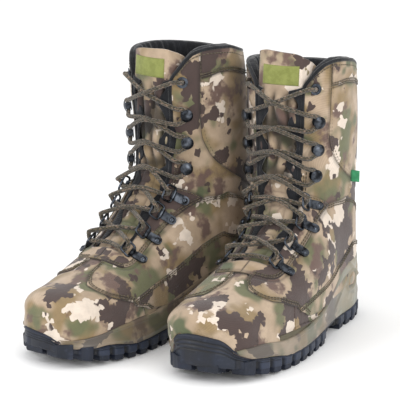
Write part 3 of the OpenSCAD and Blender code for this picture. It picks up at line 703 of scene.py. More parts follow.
def shellGrid(s, j, outer, thick, edge=None, flared=True):
    # closed shell over a grid of rows and columns; outer may be an array
    outer = np.broadcast_to(np.asarray(outer, float), s.shape)
    base = onUpper(s, j, 0.0, flared)
    n = upperNormal(s, j)
    if flared:
        ds = np.gradient(base, axis=0)
        dj = np.gradient(base, axis=1)
        own = unit(np.cross(dj, ds))
        own = np.where(((own * n).sum(-1) < 0)[..., None], -own, own)
        low = np.clip((wideZmean - base[..., 2]) / 6, 0, 1)[..., None]
        n = unit(n * (1 - low) + own * low)
    top = base + outer[..., None] * n
    bottom = base + (outer - thick)[..., None] * n
    edge = np.zeros(s.shape) if edge is None else edge
    return closedSheet(top, bottom, arcLengths(base), edge=edge)


wideZmean = float(wideZ.mean())


def curveThrough(points, count):
    # even samples of a smooth curve through rows of control values
    p = np.array(points, float)
    pad = np.vstack([2 * p[0] - p[1], p, 2 * p[-1] - p[-2]])
    fine = []
    for i in range(len(p) - 1):
        for f in np.linspace(0, 1, 24, endpoint=False):
            fine.append(spline(pad[i], pad[i + 1], pad[i + 2], pad[i + 3], f))
    fine.append(p[-1])
    fine = np.array(fine)
    where = onUpper(fine[:, 0], fine[:, 1], 0.0)
    length = np.concatenate([[0], np.cumsum(np.linalg.norm(np.diff(where, axis=0), axis=1))])
    wanted = np.linspace(0, length[-1], count)
    return np.stack([np.interp(wanted, length, fine[:, i]) for i in range(fine.shape[1])], 1), length[-1]


def ruledGrid(pairs, rows, columns):
    # pairs of [row, column] on one edge and the other; the patch spans between them
    c, _ = curveThrough(pairs, columns)
    f = np.linspace(0, 1, rows)[:, None]
    return c[None, :, 0] * (1 - f) + c[None, :, 2] * f, c[None, :, 1] * (1 - f) + c[None, :, 3] * f


def joinParts(parts):
    points, faces, attributes, start = [], [], {}, 0
    for p, f, a in parts:
        points.append(p.reshape(-1, 3))
        faces += [tuple(np.add(q, start)) for q in f]
        for k, v in a.items():
            attributes.setdefault(k, []).append(np.asarray(v).reshape(len(points[-1]), -1))
        start += len(points[-1])
    joined = {k: np.concatenate(v) for k, v in attributes.items()}
    return np.concatenate(points), faces, {k: v if v.shape[1] > 1 else v[:, 0] for k, v in joined.items()}


def flipGrid(part):
    p, f, a = part
    return p, [tuple(reversed(q)) for q in f], a


# laces, first because their route is fixed by the hardware
laceSet = {"diameter": 4.2, "length": 1.406, "sides": 12, "step": 1.6}
ringPlaces = [[6.3, 33], [7.45, 34], [8.6, 35], [9.8, 37]]
hookPlaces = [[12.3, 41], [13.75, 42], [15.15, 42]]
eyeletPlace = [16.9, 41]
layersMm = {"upper": 1.6, "stiffener": 0.9, "insulation": 3.5, "lining": 1.3, "facing": 1.3, "gap": 0.08,
            "tongue": 4.8, "footbed": 4.5}
depthStiff = -layersMm["upper"] - layersMm["gap"]
depthInsulation = depthStiff - layersMm["stiffener"] - layersMm["gap"]
depthLining = depthInsulation - layersMm["insulation"] - layersMm["gap"]
depthInside = depthLining - layersMm["lining"]
depthFacing = layersMm["facing"] + layersMm["gap"]
baseZ = depthFacing - 0.25
# a ring's bar, its hinge above the facing, the far bar's reach and lean, and the lace's room round it
ringSet = {"bar": 1.1, "clear": 0.05, "clip": 1.1, "reach": 11, "lean": math.radians(30), "loose": 0.95}
hookSet = {"neck": 6.0, "gap": laceSet["diameter"] + 0.8, "base": 0.8}
laceR = laceSet["diameter"] / 2
farY = -ringSet["reach"] * math.cos(ringSet["lean"])
hingeZ = baseZ + ringSet["bar"] + ringSet["clear"] + ringSet["clip"]
farZ = hingeZ + ringSet["reach"] * math.sin(ringSet["lean"])
turnR = ringSet["bar"] + laceR + ringSet["loose"]
hookZ = baseZ + hookSet["base"] + hookSet["gap"] / 2
edgeZ = depthFacing + laceR + 0.6


def skinFrame(s, t):
    up = unit(skin(s + 0.05, t) - skin(s - 0.05, t))
    around = unit(skin(s, t + 1) - skin(s, t - 1))
    n = unit(np.cross(around, up))
    return skin(s, t), up, n


def fromSkin(place, side, a, b, c):
    o, up, n = skinFrame(place[0], side * place[1])
    return o + a * up + side * b * np.cross(up, n) + c * n


def offSkin(s, t, d):
    o, _, n = skinFrame(s, t)
    return o + d * n


def throughRing(k, side):
    return [fromSkin(ringPlaces[k], side, shift, farY + turnR * math.cos(math.radians(turn)),
                     farZ + turnR * math.sin(math.radians(turn)))
            for turn, shift in ((-115, -3), (-60, -2.2), (-10, -0.5), (40, 1.5), (95, 3))]


def roundHook(k, side):
    clear = hookSet["neck"] / 2 + laceR + 0.5
    steps = [(-clear - 2.5, -10, edgeZ), (-clear - 0.8, -2.5, hookZ + 0.6),
             (-clear + 1.4, laceR - 0.2, hookZ), (0, laceR + 1.2, hookZ), (clear - 1.4, laceR - 0.2, hookZ),
             (clear + 0.8, -2.5, hookZ + 0.6), (clear + 2.5, -10, edgeZ)]
    return [fromSkin(hookPlaces[k], side, *p) for p in steps]


def crossing(s, high):
    return offSkin(s, 0, 4.5 + (laceR + 0.5 if high else -laceR - 0.2))


def laceStrand(side):
    out = []
    crossings = [6.9, 8.05, 9.25, 11, 13.05, 14.45, 16]
    turnings = [(throughRing, i) for i in range(4)] + [(roundHook, i) for i in range(3)]
    for k, (turns, place) in enumerate(turnings):
        even = place % 2 == 0
        out += turns(place, side if even else -side) + [crossing(crossings[k], even == (side > 0))]
    for y, z in ((-10, edgeZ + 0.6), (-2.6, 5), (-0.2, 2.6), (0, 0), (0, -4), (0, depthInside - 2)):
        out.append(fromSkin(eyeletPlace, -side, 0, y, z))
    for s, t, d in ((16.75, 43, -4), (16.3, 46, -1.2), (15.3, 50, -0.6), (14.2, 53, -0.6), (13.3, 55, -0.6),
                    (12.6, 57, -0.6)):
        out.append(offSkin(s, -side * t, depthInside - laceR - 0.6 + d))
    return out


def splineThrough(points, step):
    p = np.array(points, float)
    pad = np.vstack([2 * p[0] - p[1], p, 2 * p[-1] - p[-2]])
    out = []
    for i in range(len(p) - 1):
        m = max(1, int(round(np.linalg.norm(p[i + 1] - p[i]) / step)))
        out += [spline(pad[i], pad[i + 1], pad[i + 2], pad[i + 3], k / m) for k in range(m)]
    return np.array(out + [p[-1]])


def tubeMesh(path, radius, around):
    # closed round tube along a path of points
    p = np.array(path, float)
    n = len(p)
    way = unit(np.vstack([p[1] - p[0], p[2:] - p[:-2], p[-1] - p[-2]]))
    across = [unit(np.cross(way[0], [1, 0.2, 0.1]))]
    for i in range(1, n):
        across.append(unit(across[-1] - (across[-1] @ way[i]) * way[i]))
    across = np.array(across)
    other = np.cross(way, across)
    turn = np.linspace(0, 2 * math.pi, around, endpoint=False)
    ring = np.cos(turn)[None, :, None] * across[:, None] + np.sin(turn)[None, :, None] * other[:, None]
    pts = p[:, None] + radius * ring
    faces = [tuple(reversed(f)) for f in gridFaces(n, around, True)]
    faces.append(tuple(range(around)))
    faces.append(tuple(range(n * around - 1, (n - 1) * around - 1, -1)))
    run = np.concatenate([[0], np.cumsum(np.linalg.norm(np.diff(p, axis=0), axis=1))]) / 1000
    cloth = np.stack([np.repeat(run, around), np.tile(turn / (2 * math.pi), n), np.zeros(n * around)], -1)
    return pts.reshape(-1, 3), faces, {"cloth": cloth}


laceRoute = list(reversed(laceStrand(-1))) + [offSkin(6.2, 0, 3.4)] + laceStrand(1)
lacePath = splineThrough(laceRoute, laceSet["step"])
laceLong = float(np.linalg.norm(np.diff(lacePath, axis=0), axis=1).sum())


def makeLace(side):
    lace = makePiece(side, "laceCord", tubeMesh(lacePath, laceR, laceSet["sides"]), "lace", "lace")


onBoth("laces done, length %.1f" % laceLong, makeLace)

# seam lines, as [row, column] along the outer side; the inner side has its own where it differs
seamLines = {
    "stayFront": [
        [5.4, 0], [5.4, 1], [5.45, 2.1], [5.6, 2.7], [5.85, 3.05], [6.2, 3.15], [6.9, 3.1], [7.5, 3.1],
        [8.1, 3.15], [8.7, 3.25], [9.3, 3.4], [10, 3.6], [10.9, 3.85], [11.25, 3.9]
    ],
    "stayTop": [
        [9.75, 2], [10.3, 2.5], [10.75, 3.0], [11.1, 3.5], [11.25, 3.9]
    ],
    "ankle": [
        [11.25, 3.9], [11.9, 4.4], [12.4, 5.1], [12.85, 5.9], [13.1, 7], [13.15, 9], [13.15, 12]
    ],
    "toeOuter": [
        [5.42, 0.75], [5.15, 0.8], [4.95, 1.15], [4.78, 1.75], [4.68, 2.31], [4.66, 2.85], [4.74, 3.45],
        [4.93, 4.01], [5.25, 4.93], [5.7, 6.3], [6.15, 7.34], [6.55, 8.2], [7.0, 9.7]
    ],
    "toeInner": [
        [5.4, 0.45], [4.8, 0.45], [4.42, 0.8], [4.16, 1.45], [4.05, 2.35], [4.1, 3.05], [4.3, 3.91],
        [4.62, 5.05], [5.09, 6.36], [5.52, 7.34], [6.0, 8.52], [6.5, 9.7]
    ],
    "diagOuter": [
        [6.3, 7.5], [6.86, 7.48], [7.37, 7.52], [7.88, 7.66], [8.45, 7.9], [9.12, 8.0], [9.79, 7.75],
        [10.5, 7.1], [11.1, 6.8], [11.7, 7.0], [12.2, 8.2], [12.5, 10], [12.55, 12]
    ],
    "diagInner": [
        [5.3, 6.8], [5.96, 6.65], [6.66, 6.65], [7.29, 6.8], [7.86, 6.94], [8.39, 7.0], [8.92, 7.04],
        [9.49, 6.94], [10.1, 6.6], [10.85, 6.3], [11.7, 6.9], [12.2, 8.2], [12.5, 10], [12.55, 12]
    ],
    "sweep": [
        [17.85, 3.65], [16.9, 3.62], [15.8, 3.6], [15.1, 3.58], [14.5, 3.62], [14.1, 3.8],
        [13.78, 4.15], [13.6, 4.65], [13.55, 5.3], [13.6, 6.2], [13.65, 8], [13.65, 12]
    ],
    "collarBand": [
        [16.75, 3.66], [16.85, 4.3], [16.98, 5.1], [17.05, 6], [17.08, 8], [17.08, 12]
    ],
    "topEdge": [
        [16.6, 2], [17.2, 2.02], [17.55, 2.25], [17.78, 2.7], [17.9, 3.2], [17.95, 3.8], [17.96, 6],
        [17.96, 12]
    ],
    "hookFront": [
        [10.3, 2.42], [11.3, 2.42], [12.3, 2.38]
    ],
}


def lineOf(name, sign=1):
    key = name if name in seamLines else name + ("Outer" if sign > 0 else "Inner")
    return [[s, sign * j] for s, j in seamLines[key]]


stitchSet = {"length": 2.7, "pitch": 3.7, "radius": 0.5, "spread": 2.2}


def stitchParts(line, lift, shifts):
    # rows of short thread capsules beside a seam line
    out = []
    c, _ = curveThrough(line, 300)
    base = onUpper(c[:, 0], c[:, 1], 0.0)
    n = upperNormal(c[:, 0], c[:, 1])
    sidewards = np.cross(n, unit(np.gradient(base, axis=0)))
    for shift in shifts:
        p = base + sidewards * shift + n * lift
        run = np.concatenate([[0], np.cumsum(np.linalg.norm(np.diff(p, axis=0), axis=1))])
        count = int(run[-1] // stitchSet["pitch"])
        for i in range(count):
            a = i * stitchSet["pitch"] + 0.4
            at = np.linspace(a, a + stitchSet["length"], 4)
            q = np.stack([np.interp(at, run, p[:, k]) for k in range(3)], 1)
            nn = np.stack([np.interp(at, run, n[:, k]) for k in range(3)], 1)
            q = q + nn * np.array([-0.25, 0.12, 0.12, -0.25])[:, None]
            out.append(tubeMesh(q, stitchSet["radius"], 5))
    return out


def distanceToLines(points, lines):
    # smallest distance in mm from each point to any of the sampled lines
    samples = np.concatenate([onUpper(*curveThrough(l, 220)[0].T[:2], 0.0) for l in lines])
    tree = KDTree(len(samples))
    for i, q in enumerate(samples):
        tree.insert(q, i)
    tree.balance()
    return np.array([tree.find(q)[2] for q in points.reshape(-1, 3)]).reshape(points.shape[:-1])


def rimOf(shape, width):
    # 1 on the border of a grid, falling to 0 over a few rows and columns
    r = np.minimum(np.arange(shape[0]), np.arange(shape[0])[::-1])[:, None]
    c = np.minimum(np.arange(shape[1]), np.arange(shape[1])[::-1])[None, :]
    return np.clip(1 - np.minimum(r, c) / width, 0, 1) + np.zeros(shape)


panelSet = {"overlay": 0.85, "thick": 0.8, "stitchDip": 0.35, "wrinkle": 0.5}


def softLift(s, j, seed, amount):
    p = onUpper(s, j, 0.0)
    w = softNoise(p[..., 0] / 26, p[..., 2] / 22 + p[..., 1] / 30, seed)
    fine = softNoise(p[..., 0] / 9, p[..., 2] / 9 + p[..., 1] / 11, seed + 1)
    return amount * w + amount * 0.3 * fine


def panelPart(pairs, rows, columns, outer, sign=1, seams=(), seed=0, rimRound=0.45, edgeWide=2):
    pairs = [[a, sign * b, c, sign * d] for a, b, c, d in pairs]
    s, j = ruledGrid(pairs, rows, columns)
    lift = np.full(s.shape, float(outer)) + softLift(s, j, seed, panelSet["wrinkle"] * 0.45)
    rim = rimOf(s.shape, 1.5)
    lift = lift - rimRound * rim ** 2
    # edge: painted shade and dirt along the panel's border and beside its seams, where its lift dips
    edge = rimOf(s.shape, edgeWide) * 0.9
    if seams:
        d = distanceToLines(onUpper(s, j, 0.0), seams)
        lift = lift - panelSet["stitchDip"] * np.exp(-((d - 2.6) / 1.6) ** 2)
        edge = np.maximum(edge, 0.5 * np.exp(-((d - 2.8) / 1.5) ** 2))
    part = shellGrid(s, j, lift, panelSet["thick"], edge)
    return flipGrid(part) if sign < 0 else part


# ruled patches: [row, column] of the upper edge, then of the lower edge
sidePairs = {
    1: [
        [5.42, 0.75, 5.38, 0.76], [5.48, 2.2, 4.78, 1.8], [5.7, 2.9, 4.68, 2.7], [6.2, 3.15, 4.85, 3.8],
        [6.8, 3.1, 5.25, 4.95], [7.5, 3.1, 5.85, 6.7], [8.1, 3.15, 6.5, 8.1], [8.7, 3.25, 7.1, 9.9],
        [9.3, 3.4, 8.3, 10.3], [10.0, 3.6, 9.3, 10.4], [10.9, 3.85, 10.2, 10.5],
        [11.6, 4.15, 10.8, 11.0], [12.4, 5.1, 11.1, 11.3], [12.9, 6.1, 11.25, 11.6],
        [13.13, 9, 11.3, 11.85], [13.15, 12, 11.35, 12]
    ],
    -1: [
        [5.4, 0.45, 5.3, 0.46], [5.46, 2.1, 4.2, 1.3], [5.65, 2.85, 4.05, 2.4], [6.2, 3.15, 4.25, 3.7],
        [6.8, 3.1, 4.7, 5.3], [7.5, 3.1, 5.25, 6.8], [8.1, 3.15, 5.9, 8.4], [8.7, 3.25, 6.6, 9.9],
        [9.3, 3.4, 8.0, 10.3], [10.0, 3.6, 9.2, 10.4], [10.9, 3.85, 10.2, 10.5],
        [11.6, 4.15, 10.8, 11.0], [12.4, 5.1, 11.1, 11.3], [12.9, 6.1, 11.25, 11.6],
        [13.13, 9, 11.3, 11.85], [13.15, 12, 11.35, 12]
    ],
}
heelPairs = {
    1: [
        [6.3, 7.5, 6.3, 7.6], [6.86, 7.48, 6.9, 9.6], [7.37, 7.52, 7.5, 10.2], [7.88, 7.66, 8.0, 10.3],
        [8.45, 7.9, 8.6, 10.3], [9.12, 8.0, 9.2, 10.4], [9.79, 7.75, 9.8, 10.45],
        [10.5, 7.1, 10.4, 10.6], [11.1, 6.8, 10.8, 11.0], [11.7, 7.0, 11.1, 11.3],
        [12.2, 8.2, 11.25, 11.6], [12.5, 10, 11.3, 11.85], [12.55, 12, 11.35, 12]
    ],
    -1: [
        [5.3, 6.8, 5.35, 6.9], [5.96, 6.65, 6.1, 8.6], [6.66, 6.65, 6.8, 9.9], [7.29, 6.8, 7.5, 10.3],
        [7.86, 6.94, 8.0, 10.3], [8.39, 7.0, 8.6, 10.3], [8.92, 7.04, 9.2, 10.4],
        [9.49, 6.94, 9.8, 10.45], [10.1, 6.6, 10.3, 10.6], [10.85, 6.3, 10.8, 11.0],
        [11.7, 6.9, 11.1, 11.3], [12.2, 8.2, 11.25, 11.6], [12.5, 10, 11.3, 11.85],
        [12.55, 12, 11.35, 12]
    ],
}
stayPairs = [
    [5.4, 0, 6.0, 0], [5.4, 1, 6.0, 1.0], [5.45, 2.1, 6.02, 1.65], [5.6, 2.7, 6.1, 1.92],
    [5.85, 3.05, 6.25, 2.0], [6.2, 3.15, 6.5, 2.0], [6.9, 3.1, 7.0, 2.0], [7.5, 3.1, 7.5, 2.0],
    [8.1, 3.15, 8.1, 2.0], [8.7, 3.25, 8.7, 2.0], [9.3, 3.4, 9.2, 2.0], [10, 3.6, 9.75, 2.02],
    [10.9, 3.85, 10.6, 2.8], [11.25, 3.9, 11.2, 3.75]
]
rearPairs = [
    [16.72, 3.66, 15.1, 3.6], [16.75, 3.8, 14.45, 3.66], [16.8, 4.1, 14.05, 3.85],
    [16.87, 4.5, 13.76, 4.2], [16.98, 5.1, 13.6, 4.75], [17.05, 6, 13.56, 5.6], [17.08, 7, 13.62, 6.8],
    [17.08, 9, 13.65, 9], [17.08, 12, 13.65, 12]
]
bandPairs = [
    [17.94, 3.7, 16.78, 3.7], [17.95, 4.4, 16.87, 4.4], [17.96, 5.1, 17.0, 5.1], [17.96, 6, 17.07, 6],
    [17.96, 8, 17.1, 8], [17.96, 12, 17.1, 12]
]


def gridOf(s0, s1, rows, j0, j1, cols):
    s, j = np.meshgrid(np.linspace(s0, s1, rows), np.linspace(j0, j1, cols), indexing="ij")
    return s, j


def makeUpper(side):
    # toe: the one panel that lies lowest, sunk a little along the seams
    s, j = gridOf(0.02, 6.05, 110, -10.4, 10.4, 230)
    lift = softLift(s, j, 3, 0.25)
    lines = [lineOf(n, g) for n in ("toe", "stayFront") for g in (1, -1)]
    d = distanceToLines(onUpper(s, j, 0.0), lines)
    # edge: painted shade and dirt along the toe's seams
    edge = 0.7 * np.exp(-(d / 1.6) ** 2)
    lift = lift - 0.3 * np.exp(-(d / 2.0) ** 2)
    makePiece(side, "toePanel", shellGrid(s, j, lift - 0.1, 1.2, edge), "toe", "vamp")
    # shaft and ankle: front edge follows the throat and slopes off at the top corner
    f = np.linspace(0, 1, 190)[:, None]
    cols = np.concatenate([np.linspace(2, 4, 34), np.linspace(4, 20, 230)[1:-1], np.linspace(20, 22, 34)])
    near = np.where(cols > 12, 24 - cols, cols)
    slope = np.interp(near, [2.0, 2.25, 2.7, 3.2, 3.75], [16.9, 17.5, 17.78, 17.9, 17.95])
    top = np.where(near < 3.75, slope, 17.96)
    s = 6.0 + (top[None, :] - 6.0) * f
    j = np.broadcast_to(cols[None, :], s.shape)
    p = onUpper(s, j, 0.0)
    lift = softLift(s, j, 8, 0.45)
    crease = np.exp(-((s - 11.9) / 0.8) ** 2) * np.clip((9 - np.abs(12 - j)) / 5, 0, 1)
    lift = lift + crease * 0.7 * np.sin(p[..., 2] / 3.1 + p[..., 0] / 9)
    lines = [lineOf(n, g) for n in ("sweep", "ankle", "stayTop") for g in (1, -1)]
    d = distanceToLines(p, lines)
    # edge: painted shade and dirt along the seams and along the shaft's front edge at the throat
    edge = 0.55 * np.exp(-(d / 1.7) ** 2)
    lift = lift - 0.3 * np.exp(-((d - 2.0) / 1.8) ** 2)
    edge = np.maximum(edge, np.clip(1 - np.abs(near - 2) / 0.12, 0, 1)[None, :] * 0.8)
    makePiece(side, "shaftPanel", shellGrid(s, j, lift, 1.4, edge), "shaft", "leg_panel")
    o = panelSet["overlay"]
    both = (1, -1)
    for name, pairs, rows, columns, outer, seams, seed, material, replaced in (
            ("sidePanels", sidePairs, 90, 210, o, ("toe", "stayFront", "ankle"), 20, "side", "quarters"),
            ("heelPanel", heelPairs, 50, 200, 2 * o, ("diag",), 30, "heel", None),
            ("ringStay", {g: stayPairs for g in both}, 20, 200, 2.1 * o, ("stayFront",), 40, "stay",
             "eyestays"),
            ("rearPanel", {g: rearPairs for g in both}, 70, 150, 0.7, (), 50, "rear", None),
            ("collarBand", {g: bandPairs for g in both}, 18, 140, 1.1, ("collarBand",), 60, "band", None)):
        halves = [panelPart(pairs[g], rows, columns, outer, g, [lineOf(n, g) for n in seams], seed + g)
                  for g in both]
        makePiece(side, name, joinParts(halves), material, replaced)


onBoth("upper panels done", makeUpper)


def makeStitching(side):
    parts = []
    two = stitchSet["spread"]
    o = panelSet["overlay"]
    for w in (1, -1):
        parts += stitchParts(lineOf("toe", w), o + 0.1, [w * 1.6, w * (1.6 + two)])
        parts += stitchParts(lineOf("diag", w), 2 * o + 0.1, [-w * 1.6, -w * (1.6 + two)])
        parts += stitchParts(lineOf("stayFront", w)[1:], 2.1 * o + 0.1, [w * 1.6, w * (1.6 + two)])
        parts += stitchParts(lineOf("stayTop", w), 2.1 * o + 0.05, [-w * 1.4])
        parts += stitchParts(lineOf("ankle", w), o + 0.1, [-w * 1.5, -w * (1.5 + two)])
        parts += stitchParts(lineOf("sweep", w), 0.15, [w * 1.5, w * (1.5 + two)])
        parts += stitchParts(lineOf("collarBand", w), 1.2, [w * 1.5, w * (1.5 + two)])
        parts += stitchParts(lineOf("hookFront", w), 0.2, [0, w * 2.4])
        parts += stitchParts([[s - 0.22, j + w * 0.05] for s, j in lineOf("topEdge", w)[2:]], 1.0, [0])
    makePiece(side, "stitching", joinParts(parts), "thread")


onBoth("stitching done", makeStitching)

# piping, collar, lining, gusset
collarSet = {"pipe": 1.9, "roll": 4.4, "depth": 6.5}
pipeLine = [
    [9.9, 1.93], [11, 1.95], [12.5, 1.95], [14, 1.95], [15.3, 1.95], [16.4, 1.95], [16.95, 1.98], [17.4, 2.1],
    [17.7, 2.45], [17.86, 3.0], [17.95, 3.8], [17.98, 6], [17.98, 9], [17.98, 12]
]


def makeCollar(side):
    pipes = []
    for g in (1, -1):
        c, _ = curveThrough([[s, j * g] for s, j in pipeLine], 260)
        p = onUpper(c[:, 0], c[:, 1], 0.0)
        n = upperNormal(c[:, 0], c[:, 1])
        p = p - n * 0.5
        pipes.append(tubeMesh(p, collarSet["pipe"], 12))
    makePiece(side, "piping", joinParts(pipes), "piping")
    # padded roll: a crowned strip from the piping over into the shaft
    nr, nc = 26, 240
    cols = np.linspace(2.15, 21.85, nc)
    near = np.where(cols > 12, 24 - cols, cols)
    topAt = np.interp(near, [2.0, 2.25, 2.7, 3.2, 3.75, 6], [16.9, 17.5, 17.78, 17.9, 17.98, 18.0])
    a = np.linspace(-0.35, 1.0, nr)
    pts = np.zeros((nr, nc, 3))
    normal = upperNormal(topAt, cols)
    edgeP = onUpper(topAt, cols, 0.0)
    down = unit(onUpper(topAt - 0.5, cols, 0.0) - edgeP)
    plump = 1 + 0.06 * np.sin(cols * 5.3) + 0.05 * np.sin(cols * 11.1 + 1)
    for i, v in enumerate(a):
        if v < 0:
            depth = -0.4
            rise = -v * 14
        else:
            depth = -0.4 - (collarSet["depth"] + 3.2) * math.sin(min(v * 2.4, 1) * math.pi / 2)
            rise = 30 * v ** 1.5 - collarSet["roll"] * math.sin(min(v * 2.6, 1) * math.pi)
        pts[i] = edgeP + normal * (depth * plump)[:, None] + down * rise
    faces = [tuple(reversed(f)) for f in gridFaces(nr, nc)]
    roll = makePiece(side, "collarRoll", (pts, faces, {"cloth": arcLengths(pts).reshape(-1, 3)}), "padded",
                     "collar")
    thicken(roll, 0.001)
    # lining: a smooth sock inside, open in front above the throat
    s, j = gridOf(6.0, 17.3, 90, 2.6, 21.4, 150)
    upperPart = shellGrid(s, j, softLift(s, j, 71, 0.5) + depthLining, 1.0, None, False)
    s, j = gridOf(0.05, 6.0, 50, -12, 12, 150)
    footPart = shellGrid(s, j, softLift(s, j, 72, 0.3) + depthLining, 1.0, None, False)
    makePiece(side, "liningSock", joinParts([upperPart, footPart]), "lining", "lining")
    strips = []
    for g in (1, -1):
        s, j = gridOf(6.2, 17.3, 150, 1.12, 2.5, 16)
        j = (2.5 - (2.5 - j) * (1 + 0.3 * np.sin(2.6 * s + 1.1 * g))) * g
        lift = depthStiff + 0.7 + 1.0 * np.cos((np.abs(j) - 1.75) * 2.0) + softLift(s, j, 75, 0.5)
        part = shellGrid(s, j, lift, 1.6)
        strips.append(flipGrid(part) if g < 0 else part)
    makePiece(side, "gussetStrips", joinParts(strips), "padded", "gusset")


onBoth("collar, lining and gusset done", makeCollar)

# tongue with its gathers, and the plain label
tongueSet = {"foot": 6.0, "half": 2.35, "left": 18.98, "right": 18.72}


def tongueLift(s, j):
    # crosswise quilting over the instep, long folds up the shaft
    instep = np.clip((11.2 - s) / 0.9, 0, 1)
    p = onUpper(s, j, 0.0, False)
    quilt = np.abs(np.sin((s - 6.1) * math.pi / 0.72)) ** 0.6 * np.abs(np.cos(j * math.pi / 1.3)) ** 0.5
    folds = np.abs(np.sin(j * 3.1 + 0.7 * np.sin(s * 1.3) + 0.5)) ** 0.9 * (0.6 + 0.4 * np.sin(s * 2.1 + j))
    flat = np.clip((s - 16.2) / 0.8, 0, 1)
    gather = (1 - instep) * (1 - flat) * (folds * 5.2 - 2.4)
    body = instep * quilt * 1.9 + gather + flat * 1.4
    tuck = 8.5 * np.clip((np.abs(j) - 1.7) / 1.1, 0, 1) ** 1.5 * np.clip((s - 16.4) / 0.9, 0, 1)
    return depthStiff - 1.0 + body - tuck + 0.4 * softNoise(p[..., 0] / 7, p[..., 2] / 7 + p[..., 1] / 5, 5)


def makeTongue(side):
    nr, nc = 330, 70
    v = np.linspace(0, 1, nr)[:, None]
    u = np.linspace(-1, 1, nc)[None, :]
    wider = 0.3 * np.clip((v - 0.86) / 0.08, 0, 1) - 0.2 * np.clip((v - 0.965) / 0.035, 0, 1) ** 2
    half = tongueSet["half"] * (1 + wider)
    crown = tongueSet[side] - 0.5 * np.abs(u) ** 3 - 0.16 * u
    s = tongueSet["foot"] + (crown - tongueSet["foot"]) * v + 0 * u
    j = u * half + 0 * v
    t = angle(s, j)
    lift = tongueLift(s, j)
    base = skin(s, t)
    ds = skin(s + 0.06, t) - skin(s - 0.06, t)
    dj = skin(s, t + 2) - skin(s, t - 2)
    n = unit(np.cross(dj, ds))
    # crease: painted shade in the valleys of the folds and quilting, laid on the tongue as its edge value
    crease = np.clip((0.2 - lift + depthStiff) / 2.6, 0, 1) * (1 - np.clip((s - 16.2) / 0.8, 0, 1))
    top = base + lift[..., None] * n
    bottom = base + (lift - 3.6)[..., None] * n
    tongue = makePiece(side, "tonguePad", closedSheet(top, bottom, arcLengths(base), edge=crease), "tongue",
                       "tongue")
    s, j = gridOf(17.0, 18.2, 26, -1.3, 1.5, 60)
    t = angle(s, j)
    lift = tongueLift(s, j) + 0.7
    base = skin(s, t)
    n = unit(np.cross(skin(s, t + 2) - skin(s, t - 2), skin(s + 0.06, t) - skin(s - 0.06, t)))
    rim = rimOf(s.shape, 1.5)
    pts = base + (lift - 0.5 * rim)[..., None] * n
    attributes = {"cloth": arcLengths(base).reshape(-1, 3), "edge": rim.reshape(-1)}
    thicken(makePiece(side, "tongueLabel", (pts, gridFaces(*s.shape), attributes), "label"), 0.0006)
    # folded tag sewn into the rear seam on the outer side
    o, up, n = skinFrame(13.68, float(angle(13.68, 6.05)))
    rows, columns = 14, 8
    r = np.linspace(0, 1, rows)[:, None, None]
    c = np.linspace(-0.5, 0.5, columns)[None, :, None]
    arch = np.sin(r * math.pi)
    pts = o + n * (0.6 + 8.5 * arch) + up * (c * 11) + np.cross(up, n) * ((r - 0.5) * 2.2)
    part = pts, gridFaces(rows, columns), {"cloth": arcLengths(pts).reshape(-1, 3)}
    thicken(makePiece(side, "sideTag", part, "tag"), 0.0007)


onBoth("tongues done", makeTongue)

# rubber: sole body, lugs, rand
soleSet = {"lugPitch": 17.0, "lugLength": 11.0, "treadDepth": 5.0, "archRise": 7.0, "toeSpring": 12.0,
           "ball": 205.0, "tip": 302, "heelFront": 92.0, "archFront": 132.0}


def springAt(x):
    share = np.maximum(x - soleSet["ball"], 0) / (soleSet["tip"] - soleSet["ball"])
    return soleSet["toeSpring"] * share ** 2


def treadBase(x):
    behind = np.clip((x - soleSet["heelFront"]) / 6, 0, 1)
    ahead = np.clip((soleSet["archFront"] - x) / 8, 0, 1)
    return soleSet["treadDepth"] + soleSet["archRise"] * behind * ahead + springAt(x)


# upper line of the sole as outline step and height, from the tip round the little-toe side:
# high round the toe, down behind the bumper, then thin along the boot
soleEdge = {
    "outer": [
        [75, 28.5], [90, 24], [105, 22.5], [121, 21.5], [134, 19], [147, 16], [159, 15], [172, 15],
        [188, 15], [204, 15.5], [218, 16.5], [240, 17.5], [263, 16], [285, 16], [310, 17], [396, 19]
    ],
    "inner": [
        [480, 18], [540, 17.5], [598, 17], [622, 15.5], [646, 15], [657, 17], [671, 20], [684, 21],
        [696, 20], [713, 20.5]
    ],
    "left": [
        [730, 31], [748, 43.5], [766, 45.5], [790, 45.5], [812, 44.5], [826, 43.5], [837, 42.5],
        [846, 39.5], [853, 35.5], [858, 32]
    ],
    "right": [
        [730, 22], [741, 23.5], [750, 26.5], [764, 30], [781, 32], [804, 33], [829, 33.5], [846, 33],
        [853, 31.5], [858, 30]
    ],
}


def soleTop(side):
    stops = np.array(soleEdge["outer"] + soleEdge["inner"] + soleEdge[side], float)
    stops = np.concatenate([stops, stops[:1] + [[outlineCount, 0]]])
    k = np.arange(outlineCount) + 0.0
    return smoothRing(np.interp(np.where(k < 75, k + outlineCount, k), stops[:, 0], stops[:, 1]), 9)


topLines = {side: soleTop(side) for side in sides}
# back edges of the tread blocks, under the heel and under the forefoot
lugStarts = [*np.arange(7, 82, soleSet["lugPitch"]), *np.arange(136, 290, soleSet["lugPitch"])]


def lugMask(x):
    # 1 where a tread block stands, 0 in the gaps
    out = np.zeros(np.shape(x))
    for a in lugStarts:
        d = np.abs(x - (a + soleSet["lugLength"] / 2))
        out = np.maximum(out, np.clip((7.2 - d) / 2.0, 0, 1))
    return out


